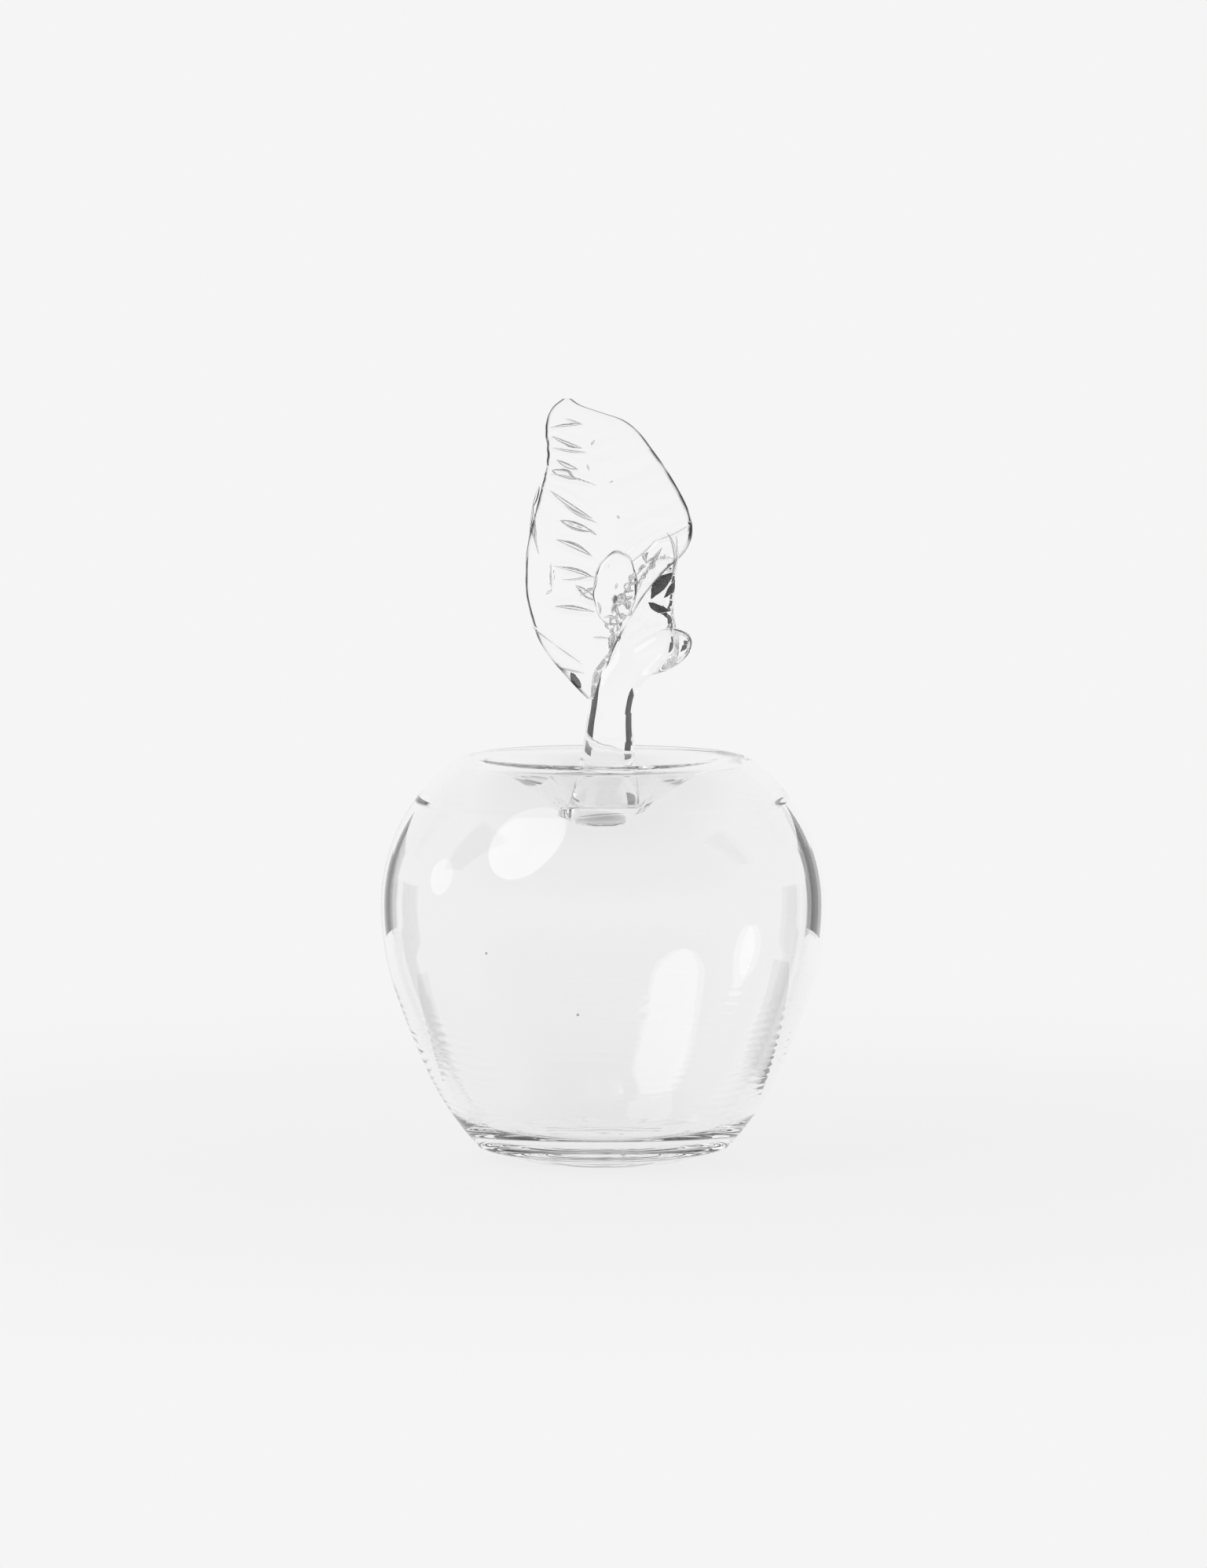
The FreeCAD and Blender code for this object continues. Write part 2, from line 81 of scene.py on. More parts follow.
def add_node(tree: bpy.types.NodeTree, kind: str, settings: dict[str | int, object] | None = None,
             links: dict[str | int, bpy.types.NodeSocket] | None = None) -> bpy.types.Node:
    """Adds a node with its settings and its links.

    Args:
        tree: The node tree that gets the node.
        kind: The node's type, without the leading ShaderNode.
        settings: Values by socket name or number, or by attribute name with a leading dot.
        links: Output sockets by the name of the input that each feeds.

    Returns:
        The new node.
    """
    node = tree.nodes.new(f"ShaderNode{kind}")
    for name, value in (settings or {}).items():
        if isinstance(name, str) and name.startswith("."):
            setattr(node, name[1:], value)
        else:
            node.inputs[name].default_value = value
    for name, socket in (links or {}).items():
        tree.links.new(socket, node.inputs[name])
    return node


def bare_material(name: str) -> bpy.types.Material:
    """Starts a material that has no nodes yet.

    Args:
        name: The material's name.

    Returns:
        The empty material.
    """
    material = bpy.data.materials.new(name)
    material.use_nodes = True
    material.node_tree.nodes.clear()
    return material


@dataclass(frozen=True)
class ClearGlass:
    """Clear lead-free art glass, fire-polished: see-through, with a sharp gloss."""

    name: str
    colour: str
    # a rim bends dark parts of the room to the eye, so its fine lines are drawn in this grey
    painted_shade_colour: str = "2A2A2A"
    ior: float = 1.5
    roughness: float = 0.0

    def material(self) -> bpy.types.Material:
        """Makes the glass, whose colour is darkened by painted shade where a skin's points carry it.

        Returns:
            The material, with one shader.
        """
        material = bpy.data.materials.new(self.name)
        material.use_nodes = True
        tree = material.node_tree
        shader = tree.nodes["Principled BSDF"]
        # painted shade: the glass's colour is mixed towards the dark grey where a skin's points carry it,
        # standing in for the dark room seen through a rim
        line = add_node(tree, "Attribute", {".attribute_name": PAINTED_SHADE})
        colours = {"Color1": linear(self.colour), "Color2": linear(self.painted_shade_colour)}
        tint = add_node(tree, "MixRGB", colours, {"Fac": line.outputs["Fac"]})
        tree.links.new(tint.outputs[0], shader.inputs["Base Color"])
        shader.inputs["Roughness"].default_value = self.roughness
        shader.inputs["IOR"].default_value = self.ior
        shader.inputs["Transmission Weight"].default_value = 1.0
        return material


@dataclass(frozen=True)
class HotWeld:
    """The place where two gathers melted into one, which nothing shows in the real glass."""

    glass: ClearGlass

    def inner(self) -> bpy.types.Material:
        """Makes a surface that light goes straight through.

        Returns:
            The material of the faces that lie wholly in other glass.
        """
        material = bare_material(f"{self.glass.name}_weld")
        clear = add_node(material.node_tree, "BsdfTransparent")
        add_node(material.node_tree, "OutputMaterial", links={"Surface": clear.outputs[0]})
        return material

    def edge(self) -> bpy.types.Material:
        """Makes glass up to the line where it melts into the next piece, and nothing beyond it.

        Returns:
            The material of the faces that the line crosses.
        """
        material = self.glass.material()
        material.name = f"{self.glass.name}_weld_edge"
        tree = material.node_tree
        depth = add_node(tree, "Attribute", {".attribute_name": BURIED})
        beyond = add_node(tree, "Math", {".operation": "GREATER_THAN", 1: 0.0}, {0: depth.outputs["Fac"]})
        clear = add_node(tree, "BsdfTransparent")
        mix = add_node(tree, "MixShader", links={"Fac": beyond.outputs[0]})
        tree.links.new(tree.nodes["Principled BSDF"].outputs[0], mix.inputs[1])
        tree.links.new(clear.outputs[0], mix.inputs[2])
        tree.links.new(mix.outputs[0], tree.nodes["Material Output"].inputs["Surface"])
        return material

    def materials(self) -> list[bpy.types.Material]:
        """Makes the glass, the weld and the weld's edge, in this order."""
        return [self.glass.material(), self.inner(), self.edge()]


class Slot(Enum):
    """The record's material slots."""

    BODY = "body_glass"
    STEM = "stem_glass"
    LEAF = "leaf_glass"
    BIT = "bit_glass"


def placed(name: str, mesh: bmesh.types.BMesh, materials: list[bpy.types.Material]) -> bpy.types.Object:
    """Puts a shape in the scene.

    Args:
        name: The object's name.
        mesh: The shape, which is freed.
        materials: The finishes of its faces.

    Returns:
        The object, at the origin.
    """
    data = bpy.data.meshes.new(name)
    mesh.to_mesh(data)
    mesh.free()
    for material in materials:
        data.materials.append(material)
    item = bpy.data.objects.new(name, data)
    bpy.context.scene.collection.objects.link(item)
    return item


def finished(name: str, mesh: bmesh.types.BMesh, materials: list[bpy.types.Material],
             node: str | None = None) -> bpy.types.Object:
    """Turns a bmesh into a smooth piece that rides on the part.

    Args:
        name: The piece's name.
        mesh: The shape in millimetres, which is freed.
        materials: Its glass, and its weld where it has one.
        node: The CAD node that the piece stands for, if any.

    Returns:
        The finished object, at the origin.
    """
    bmesh.ops.scale(mesh, vec=Vector((MM, MM, MM)), verts=mesh.verts)
    for face in mesh.faces:
        face.smooth = True
    piece = placed(name, mesh, materials)
    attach(piece, "root")
    if node:
        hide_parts(node)
    LOG.info("%s: %d faces", name, len(piece.data.polygons))
    return piece


def join(mesh: bmesh.types.BMesh, other: bmesh.types.BMesh) -> None:
    """Adds one skin to another.

    Args:
        mesh: The skin that stays.
        other: The skin that is added, and then freed.
    """
    data = bpy.data.meshes.new("joined")
    other.to_mesh(data)
    other.free()
    mesh.from_mesh(data)
    bpy.data.meshes.remove(data)


def set_down(ball: bmesh.types.BMesh, halves: tuple[float, float, float], tilt: float,
             middle: tuple[float, float, float]) -> None:
    """Stretches a ball with a radius of one, tips it and moves it to its place.

    Args:
        ball: The ball.
        halves: Its half sizes across, in depth and in height.
        tilt: Degrees that its top is tipped to the right.
        middle: Where its middle goes.
    """
    bmesh.ops.scale(ball, vec=Vector(halves), verts=ball.verts)
    turn = Matrix.Rotation(math.radians(tilt), 3, "Y")
    bmesh.ops.rotate(ball, cent=(0, 0, 0), matrix=turn, verts=ball.verts)
    bmesh.ops.translate(ball, vec=Vector(middle), verts=ball.verts)


def paint_shade(mesh: bmesh.types.BMesh, levels: list[float], first: int = 0) -> None:
    """Gives points of a skin their share of painted shade: the fine dark line that a rim of glass shows,
    painted in for the dark room that it bends to the eye.

    Args:
        mesh: The skin.
        levels: The share of each point, in order.
        first: The number of the first point.
    """
    mesh.verts.ensure_lookup_table()
    layer = mesh.verts.layers.float.get(PAINTED_SHADE) or mesh.verts.layers.float.new(PAINTED_SHADE)
    for vert, level in zip(mesh.verts[first:], levels):
        vert[layer] = clamped(level)


def bowed(rows: tuple[tuple[float, ...], ...], share: float) -> list[float]:
    """Reads a table on a smooth curve through its rows.

    Args:
        rows: Rows whose first value is the share that they stand for, in rising order.
        share: Where to read.

    Returns:
        The other values of the row at that share.
    """
    last = len(rows) - 2
    row = max(i for i in range(last + 1) if i == 0 or rows[i][0] <= share)
    span = rows[row + 1][0] - rows[row][0]
    t = clamped((share - rows[row][0]) / span)
    places = (2 * t ** 3 - 3 * t ** 2 + 1, 3 * t ** 2 - 2 * t ** 3)
    weights = (*places, t ** 3 - 2 * t ** 2 + t, t ** 3 - t ** 2)
    values = []
    for column in range(1, len(rows[0])):
        slopes = []
        for i in (row, row + 1):
            low, high = rows[max(i - 1, 0)], rows[min(i + 1, last + 1)]
            slopes.append((high[column] - low[column]) / (high[0] - low[0]) * span)
        ends = (rows[row][column], rows[row + 1][column], *slopes)
        values.append(sum(w * v for w, v in zip(weights, ends)))
    return values


@dataclass
class TurnedOutline:
    """A chain of straight and round runs beside the axis, from its first point on."""

    radius: float
    height: float
    # degrees that the next run climbs from the way outwards
    heading: float = 0.0
    points: list[tuple[float, float]] = field(default_factory=list)

    def __post_init__(self) -> None:
        """Starts the chain at its first point."""
        self.points.append((self.radius, self.height))

    def line(self, length: float, spacing: float) -> None:
        """Adds a straight run the way that the chain heads.

        Args:
            length: The run's length.
            spacing: About how far apart its points are.
        """
        steps = max(1, round(length / spacing))
        for _ in range(steps):
            self.radius += length / steps * math.cos(math.radians(self.heading))
            self.height += length / steps * math.sin(math.radians(self.heading))
            self.points.append((self.radius, self.height))

    def line_to(self, radius: float, height: float, spacing: float) -> None:
        """Adds a straight run to a point."""
        self.heading = math.degrees(math.atan2(height - self.height, radius - self.radius))
        self.line(math.hypot(height - self.height, radius - self.radius), spacing)

    def arc(self, radius: float, turn: float, spacing: float) -> None:
        """Adds a round run.

        Args:
            radius: The radius of the round.
            turn: Degrees that it turns to the left, or to the right where it is negative.
            spacing: About how far apart its points are.
        """
        out = math.radians(self.heading - math.copysign(90.0, turn))
        middle = (self.radius - radius * math.cos(out), self.height - radius * math.sin(out))
        steps = max(3, round(abs(math.radians(turn)) * radius / spacing))
        for step in range(1, steps + 1):
            angle = out + math.radians(turn) * step / steps
            across, up = radius * math.cos(angle), radius * math.sin(angle)
            self.points.append((middle[0] + across, middle[1] + up))
        self.radius, self.height = self.points[-1]
        self.heading += turn

    def curve_to(self, bend: tuple[float, float], last_bend: tuple[float, float],
                 end: tuple[float, float], spacing: float) -> None:
        """Adds a free curve.

        Args:
            bend: The radius and height that pull its first half.
            last_bend: The radius and height that pull its second half.
            end: The radius and height where it ends.
            spacing: About how far apart its points are.
        """
        start = (self.radius, self.height)
        steps = round(math.hypot(end[0] - start[0], end[1] - start[1]) * CURVE_SLACK / spacing)
        for step in range(1, steps + 1):
            t = step / steps
            weights = ((1 - t) ** 3, 3 * t * (1 - t) ** 2, 3 * t * t * (1 - t), t ** 3)
            corners = (start, bend, last_bend, end)
            self.points.append(tuple(sum(w * c[i] for w, c in zip(weights, corners)) for i in (0, 1)))
        self.radius, self.height = end


@dataclass(frozen=True)
class Pocket:
    """A sliver of air that was caught when the hot glass was pressed or folded."""

    start: tuple[float, float]
    end: tuple[float, float]
    # half its width, and its depth as a share of its width
    width: float
    depth: float = 1.25
    # how far its middle is bent aside, and how far it lies before the middle of the glass
    bow: float = 0.0
    forward: float = 0.4
    # degrees that it is rolled about its length
    lean: float = 0.0
    # how much painted shade it carries away from its edges, where a painted dark line always runs
    shade: float = 0.0
    # the painted line's width as a share of the half width, and the power that slims it to its ends
    line_share: float = 0.2
    end_power: float = 0.35

    def blow(self, bead: list[bmesh.types.BMVert], back: float) -> list[float]:
        """Blows a round bead of air out to the pocket's shape.

        Args:
            bead: The points of a ball with a radius of one.
            back: Where the middle of the glass lies, from front to back.

        Returns:
            How much painted shade each of its points shows.
        """
        run = Vector((self.end[0] - self.start[0], 0.0, self.end[1] - self.start[1]))
        half = run.length / 2
        roll = Matrix.Rotation(math.radians(self.lean), 3, "Z")
        turn = Matrix.Rotation(math.atan2(run.x, run.z), 3, "Y") @ roll
        across, height = ((low + high) / 2 for low, high in zip(self.start, self.end))
        middle = Vector((across, back - self.forward, height))
        levels = []
        for vert in bead:
            share = vert.co.z
            girth = max(0.0, 1 - share ** 2)
            reach = abs(vert.co.x) / math.sqrt(max(girth, LEAST))
            levels.append(max(self.shade, min(1.0, (reach - (1 - self.line_share)) / self.line_share)))
            slim = girth ** self.end_power * self.width
            side = vert.co.x * slim + self.bow * (1 - share ** 2)
            vert.co = turn @ Vector((side, vert.co.y * slim * self.depth, share * half)) + middle
        return levels


def trap(glass: bmesh.types.BMesh, pockets: list[tuple[Pocket, float]]) -> None:
    """Traps pockets of air in a piece of glass, with painted shade on their skins.

    Args:
        glass: The piece's skin.
        pockets: The pockets, each with the place of the glass's middle from front to back.
    """
    bead = bmesh.new()
    bmesh.ops.create_uvsphere(bead, u_segments=BEAD_SIDES, v_segments=BEAD_RINGS, radius=1.0)
    ball = bpy.data.meshes.new("bead")
    bead.to_mesh(ball)
    bead.free()
    air, levels = bmesh.new(), []
    for pocket, back in pockets:
        air.from_mesh(ball)
        air.verts.ensure_lookup_table()
        levels += pocket.blow(air.verts[len(levels):], back)
    bpy.data.meshes.remove(ball)
    bmesh.ops.reverse_faces(air, faces=air.faces)
    first = len(glass.verts)
    join(glass, air)
    glass.verts.ensure_lookup_table()
    layer = glass.verts.layers.float.get(BURIED) or glass.verts.layers.float.new(BURIED)
    for vert in glass.verts[first:]:
        vert[layer] = -1.0
    paint_shade(glass, levels, first)


@dataclass
class BlownApple:
    """The blown shell: its outside, its hollow, and its ground and polished foot."""

    materials: list[bpy.types.Material]
    segments: int = 150
    foot_radius: float = 18.5
    punt_radius: float = 17.0
    punt_depth: float = 1.2
    # the underside's degrees from level, and its length
    underside: tuple[float, float] = (15.6, 9.5)
    # the rounds up the side, each with its radius and the degrees that it turns
    heel: tuple[float, float] = (2.0, 32.0)
    tuck: tuple[float, float] = (66.0, 17.9)
    wall: tuple[float, float] = (194.0, 5.4)
    belly: tuple[float, float] = (62.0, 19.1)
    upper: tuple[float, float] = (39.9, 54.1)
    shoulder: tuple[float, float] = (6.5, 35.9)
    # the dimple: its reach in from the lip, its bend's radius and rise, and its fillet on the seat
    dimple_reach: float = 8.0
    dimple_bend: tuple[float, float] = (14.0, 6.2)
    seat_fillet: tuple[float, float] = (0.5, 0.8)
    seat_radius: float = 8.5
    seat_height: float = 81.0
    weld_radius: float = 8.2
    thickness: float = 2.6
    floor_height: float = 5.0
    bowl_radius: float = 15.0
    # the funnel over the hollow: as the dimple's values, from the throat's rim
    shoulder_slack: float = 1.2
    funnel_reach: float = 9.0
    funnel_bend: tuple[float, float] = (7.5, 5.4)
    throat_radius: float = 5.8
    throat_height: float = 75.6
    throat_sag: float = 0.2
    # the hollow's shift to the left, which grows up to one height and is less above another
    hollow_shift: float = 0.45
    shift_heights: tuple[float, float] = (40.0, 80.0)
    upper_shift_share: float = 0.5
    # the level waves in the hollow's wall, which start a little above its floor, how they wander,
    # and the radius within which the skin keeps still
    ripple_height: float = 0.045
    ripple_length: float = 1.7
    ripple_start: float = 4.0
    ripple_top: float = 40.0
    ripple_drift: float = 1.6
    drift_around: float = 2.0
    drift_upwards: float = 0.12
    still_radius: float = 1.0
    # seeds and squiggles of air, each with its place to the back; each has a painted dark line round its
    # edge, and the squiggles in the foot and the marks by the seat are painted darker as well, painted shade
    seeds: tuple[tuple[Pocket, float], ...] = (
        (Pocket((-5.8, 37.3), (-5.4, 37.9), 0.28, 1.0), -45.2),
        (Pocket((-25.7, 50.4), (-25.5, 51.0), 0.24, 1.0), -41.2),
        (Pocket((-12.6, 3.9), (-8.0, 4.2), 0.45, 1.0, bow=0.3, shade=0.4), -10.0),
        (Pocket((-1.8, 3.7), (1.6, 4.1), 0.6, 1.0, bow=0.3, shade=0.4), -5.0),
        (Pocket((-1.0, 3.4), (2.2, 3.2), 0.5, 1.0, bow=-0.6, shade=0.4), -7.0),
        (Pocket((3.4, 3.6), (4.6, 4.1), 0.6, 1.0, bow=0.2, shade=0.4), -10.0),
        (Pocket((5.2, 3.4), (7.2, 4.1), 0.55, 1.0, bow=-0.4, shade=0.4), 3.0),
        (Pocket((-7.6, 3.4), (-5.2, 3.0), 0.2, 1.0, bow=0.4), -3.0),
        (Pocket((-8.9, 79.6), (-6.6, 77.4), 0.6, 0.7, bow=-0.3, shade=1.0), -1.0),
        (Pocket((8.9, 79.6), (6.6, 77.4), 0.6, 0.7, bow=0.3, shade=1.0), -1.0),
        (Pocket((-5.2, 79.3), (4.4, 79.8), 0.26, 1.0, bow=-0.5, shade=0.4), -4.5),
        (Pocket((-3.4, 77.2), (5.0, 77.0), 0.3, 1.0, bow=0.5, shade=0.5), -3.0),
    )
    # about how far apart the outline's points are, from its finest rounds to its flats
    finest_spacing: float = 0.2
    shoulder_spacing: float = 0.3
    dimple_spacing: float = 0.35
    plug_spacing: float = 0.6
    spacing: float = 0.62
    flat_spacing: float = 1.0

    def outside(self) -> list[tuple[float, float]]:
        """Draws the outline of the outside.

        Returns:
            Its points, from the middle of the foot round to the middle of the seat.
        """
        sphere = (self.punt_radius ** 2 + self.punt_depth ** 2) / (2 * self.punt_depth)
        turn = math.degrees(math.asin(self.punt_radius / sphere))
        outline = TurnedOutline(0.0, self.punt_depth)
        outline.arc(sphere, -turn, self.flat_spacing)
        outline.line_to(self.foot_radius, 0.0, self.spacing)
        outline.heading = self.underside[0]
        outline.line(self.underside[1], self.spacing)
        outline.arc(*self.heel, self.finest_spacing)
        for run in (self.tuck, self.wall, self.belly, self.upper):
            outline.arc(*run, self.spacing)
        outline.arc(*self.shoulder, self.shoulder_spacing)
        lip = (outline.radius - self.dimple_reach, outline.height)
        low = (self.dimple_bend[0], self.seat_height + self.dimple_bend[1])
        end = (self.seat_radius + self.seat_fillet[0], self.seat_height + self.seat_fillet[1])
        outline.curve_to(lip, low, end, self.dimple_spacing)
        outline.line_to(self.weld_radius, self.seat_height, self.finest_spacing)
        outline.line_to(0.0, self.seat_height, self.flat_spacing)
        return outline.points

    def hollow(self) -> list[tuple[float, float]]:
        """Draws the outline of the hollow.

        Returns:
            Its points, from the middle of its floor round to the middle of its top.
        """
        outer = self.outer_centre()
        reach_radius = self.tuck[0] - self.thickness
        drop = self.floor_height + self.bowl_radius - outer[1]
        reach = outer[0] + math.sqrt((reach_radius - self.bowl_radius) ** 2 - drop ** 2)
        rise = math.degrees(math.atan2(drop, reach - outer[0]))
        outline = TurnedOutline(0.0, self.floor_height)
        outline.line(reach, self.flat_spacing)
        outline.arc(self.bowl_radius, 90.0 + rise, self.spacing)
        outline.arc(reach_radius, -self.wall[1] - self.belly[1] - rise, self.spacing)
        for radius, turn in (self.wall, self.belly, self.upper):
            outline.arc(radius - self.thickness, turn, self.spacing)
        bend = self.shoulder[0] - self.thickness + self.shoulder_slack
        outline.arc(bend, self.shoulder[1], self.finest_spacing)
        lip = (outline.radius - self.funnel_reach, outline.height)
        low = (self.throat_radius + self.funnel_bend[0], self.throat_height + self.funnel_bend[1])
        outline.curve_to(lip, low, (self.throat_radius, self.throat_height), self.dimple_spacing)
        outline.line_to(0.0, self.throat_height - self.throat_sag, self.plug_spacing)
        return outline.points

    def outer_centre(self) -> tuple[float, float]:
        """Finds the middle of the tuck's round, which the hollow shares.

        Returns:
            Its radius and height.
        """
        outline = TurnedOutline(self.foot_radius, 0.0, self.underside[0])
        outline.line(self.underside[1], self.spacing)
        outline.arc(*self.heel, self.spacing)
        side = math.radians(outline.heading + 90.0)
        radius, height = outline.radius, outline.height
        return (radius + self.tuck[0] * math.cos(side), height + self.tuck[0] * math.sin(side))

    def spun(self, outline: list[tuple[float, float]]) -> bmesh.types.BMesh:
        """Spins an outline about the axis.

        Args:
            outline: Its points, each with a radius and a height, from axis to axis.

        Returns:
            The closed skin with its faces outwards.
        """
        mesh = bmesh.new()
        verts = [mesh.verts.new((radius, 0.0, height)) for radius, height in outline]
        edges = [mesh.edges.new(pair) for pair in zip(verts, verts[1:])]
        bmesh.ops.spin(mesh, geom=verts + edges, cent=(0, 0, 0), axis=(0, 0, 1), angle=2 * math.pi,
                       steps=self.segments, use_merge=True, use_duplicate=False)
        bmesh.ops.remove_doubles(mesh, verts=mesh.verts, dist=MERGE_DISTANCE)
        bmesh.ops.recalc_face_normals(mesh, faces=mesh.faces)
        return mesh

    def ripple(self, place: Vector) -> float:
        """Waves the hollow's lower wall in fine level ripples that fade at both ends.

        Args:
            place: A point of the wall.

        Returns:
            How far the point moves outwards.
        """
        low = self.floor_height + self.ripple_start
        if not low <= place.z <= self.ripple_top:
            return 0.0
        fade = math.sin(math.pi * (place.z - low) / (self.ripple_top - low))
        angle = math.atan2(place.y, place.x)
        around = (math.cos(angle) * self.drift_around, math.sin(angle) * self.drift_around)
        drift = noise.noise(Vector((*around, place.z * self.drift_upwards)))
        phase = place.z / self.ripple_length + drift * self.ripple_drift
        return self.ripple_height * math.sin(2 * math.pi * phase) * fade

    def build(self) -> bpy.types.Object:
        """Joins the outside and the hollow to one piece of glass, and marks where the stem is welded.

        Returns:
            The finished shell.
        """
        hollow = self.spun(self.hollow())
        full, upper = self.shift_heights
        for vert in hollow.verts:
            flat = Vector((vert.co.x, vert.co.y, 0.0))
            if flat.length > self.still_radius:
                vert.co += flat.normalized() * self.ripple(vert.co)
            share = 1 if vert.co.z < upper else self.upper_shift_share
            vert.co.x -= self.hollow_shift * min(1.0, vert.co.z / full) * share
        bmesh.ops.reverse_faces(hollow, faces=hollow.faces)
        shell = self.spun(self.outside())
        join(shell, hollow)
        for face in shell.faces:
            middle = face.calc_center_median()
            level = abs(middle.z - self.seat_height) < LEVEL_DISTANCE
            face.material_index = int(level and math.hypot(middle.x, middle.y) < self.weld_radius)
        trap(shell, list(self.seeds))
        return finished("blown_shell", shell, self.materials, "apple_body")


def ring_loft(rings: list[list[Vector]]) -> bmesh.types.BMesh:
    """Draws one closed ring out through all the others, and closes both ends.

    Args:
        rings: The rings from the lowest to the highest, all with as many points.

    Returns:
        The closed skin with its faces outwards.
    """
    mesh = bmesh.new()
    first = bmesh.ops.create_circle(mesh, cap_ends=False, radius=1.0, segments=len(rings[0]))["verts"]
    for vert, place in zip(first, rings[0]):
        vert.co = place
    verts, edges = first, list(mesh.edges)
    bottom = list(edges)
    for ring in rings[1:]:
        made = bmesh.ops.extrude_edge_only(mesh, edges=edges)["geom"]
        fresh = {item for item in made if isinstance(item, bmesh.types.BMVert)}
        above = []
        for vert in verts:
            above.append(next(e.other_vert(vert) for e in vert.link_edges if e.other_vert(vert) in fresh))
        for vert, place in zip(above, ring):
            vert.co = place
        verts = above
        strung = [item for item in made if isinstance(item, bmesh.types.BMEdge)]
        edges = [edge for edge in strung if all(vert in fresh for vert in edge.verts)]
    for rim in (bottom, edges):
        bmesh.ops.holes_fill(mesh, edges=rim, sides=0)
    caps = [face for face in mesh.faces if len(face.verts) > 4]
    bmesh.ops.poke(mesh, faces=caps)
    bmesh.ops.recalc_face_normals(mesh, faces=mesh.faces)
    return mesh


@dataclass
class DrawnStem:
    """The rod that stands in the dimple, drawn out to the right at its upper end."""

    materials: list[bpy.types.Material]
    segments: int = 192
    foot_height: float = 81.0
    step: float = 0.5
    # how square its rings are above the foot, and the height and run over which they turn so
    squareness: float = 2.35
    square_from: float = 86.0
    square_run: float = 8.0
    # how far the upper end is crumpled, from which height and over which run, in two grains, and
    # the finer grain's share
    crumple: float = 0.3
    crumple_from: float = 112.0
    crumple_run: float = 12.0
    crumple_grains: tuple[float, float] = (0.42, 0.95)
    fine_crumple: float = 0.5
    # height, middle to the right, half width, half depth and middle to the back
    rows: tuple[tuple[float, ...], ...] = (
        (81.0, 0.0, 8.2, 8.2, 0.0),
        (82.2, 0.1, 7.9, 7.9, 0.0),
        (84.9, 0.5, 7.4, 7.2, 0.0),
        (88.2, 0.8, 6.7, 6.0, 0.0),
        (90.6, 0.9, 6.1, 5.5, 0.0),
        (94.2, 1.25, 5.75, 5.4, 0.0),
        (98.1, 1.4, 5.35, 5.35, 0.0),
        (102.2, 1.85, 5.05, 5.2, 0.0),
        (106.6, 2.8, 5.6, 5.0, 0.2),
        (110.2, 5.0, 7.2, 4.8, 0.6),
        (114.0, 8.0, 8.0, 4.2, 1.1),
        (118.4, 9.1, 7.4, 3.7, 1.5),
        (123.9, 9.9, 5.9, 3.1, 1.7),
        (130.0, 11.8, 4.4, 2.6, 1.8),
        (133.5, 13.1, 3.4, 2.2, 1.9),
        (135.4, 13.9, 2.2, 1.5, 1.9),
        (136.0, 14.2, 0.8, 0.7, 1.9),
    )
    # slivers of air in the fold, most painted dark all over: painted shade for the black patches where the
    # fold turns the light back inside the glass
    folds: tuple[Pocket, ...] = (
        Pocket((15.4, 132.1), (10.6, 126.2), 1.4, 0.3, bow=0.5, shade=1.0, forward=0.4),
        Pocket((15.6, 130.6), (13.2, 126.4), 0.7, 0.4, bow=-0.4, shade=1.0, forward=0.2),
        Pocket((10.0, 125.4), (14.6, 123.4), 1.0, 0.4, bow=0.4, shade=1.0, forward=0.4),
        Pocket((11.6, 124.4), (14.0, 121.9), 0.6, 0.4, bow=-0.3, shade=1.0, forward=0.2),
        Pocket((13.6, 134.0), (15.6, 132.4), 0.35, bow=0.6, forward=0.2),
        Pocket((14.8, 120.6), (13.6, 119.4), 0.4, shade=0.6),
    )
    lobe_middle: tuple[float, float, float] = (12.3, -0.8, 114.5)
    lobe_halves: tuple[float, float, float] = (8.1, 3.6, 4.7)
    lobe_tilt: float = 22.0
    lobe_facets: tuple[int, int] = (96, 64)
    # the painted shade round the lobe's right end, a dark line: from which share of its half on it shows, and
    # its place, width and level in such shares, where a level over one is as dark as one
    lobe_line_from: float = 0.62
    lobe_line_share: float = 0.95
    lobe_line_width: float = 0.03
    lobe_line_level: float = 1.4

    def __post_init__(self) -> None:
        """Draws the shaft and its lobe."""
        self.shaft = ring_loft(self.rings())
        self.lobe = self.round_end()

    def rings(self) -> list[list[Vector]]:
        """Lays out the stem's level rings, with its upper end slightly crumpled.

        Returns:
            The rings from the foot to the upper end.
        """
        rings = []
        low, high = self.rows[0][0], self.rows[-1][0]
        count = round((high - low) / self.step)
        for number in range(count + 1):
            height = low + (high - low) * number / count
            middle, wide, deep, back = bowed(self.rows, height)
            square = 2 + (self.squareness - 2) * clamped((height - self.square_from) / self.square_run)
            fade = clamped((height - self.crumple_from) / self.crumple_run)
            ring = []
            for point in range(self.segments):
                angle = 2 * math.pi * point / self.segments
                sides = (math.cos(angle), math.sin(angle))
                x, y = (math.copysign(abs(side) ** (2 / square), side) for side in sides)
                place = Vector((middle + wide * x, back + deep * y, height))
                coarse, fine = (noise.noise(place * grain) for grain in self.crumple_grains)
                push = coarse + self.fine_crumple * fine
                ring.append(place + Vector((*sides, 0.0)) * push * self.crumple * fade)
            rings.append(ring)
        return rings

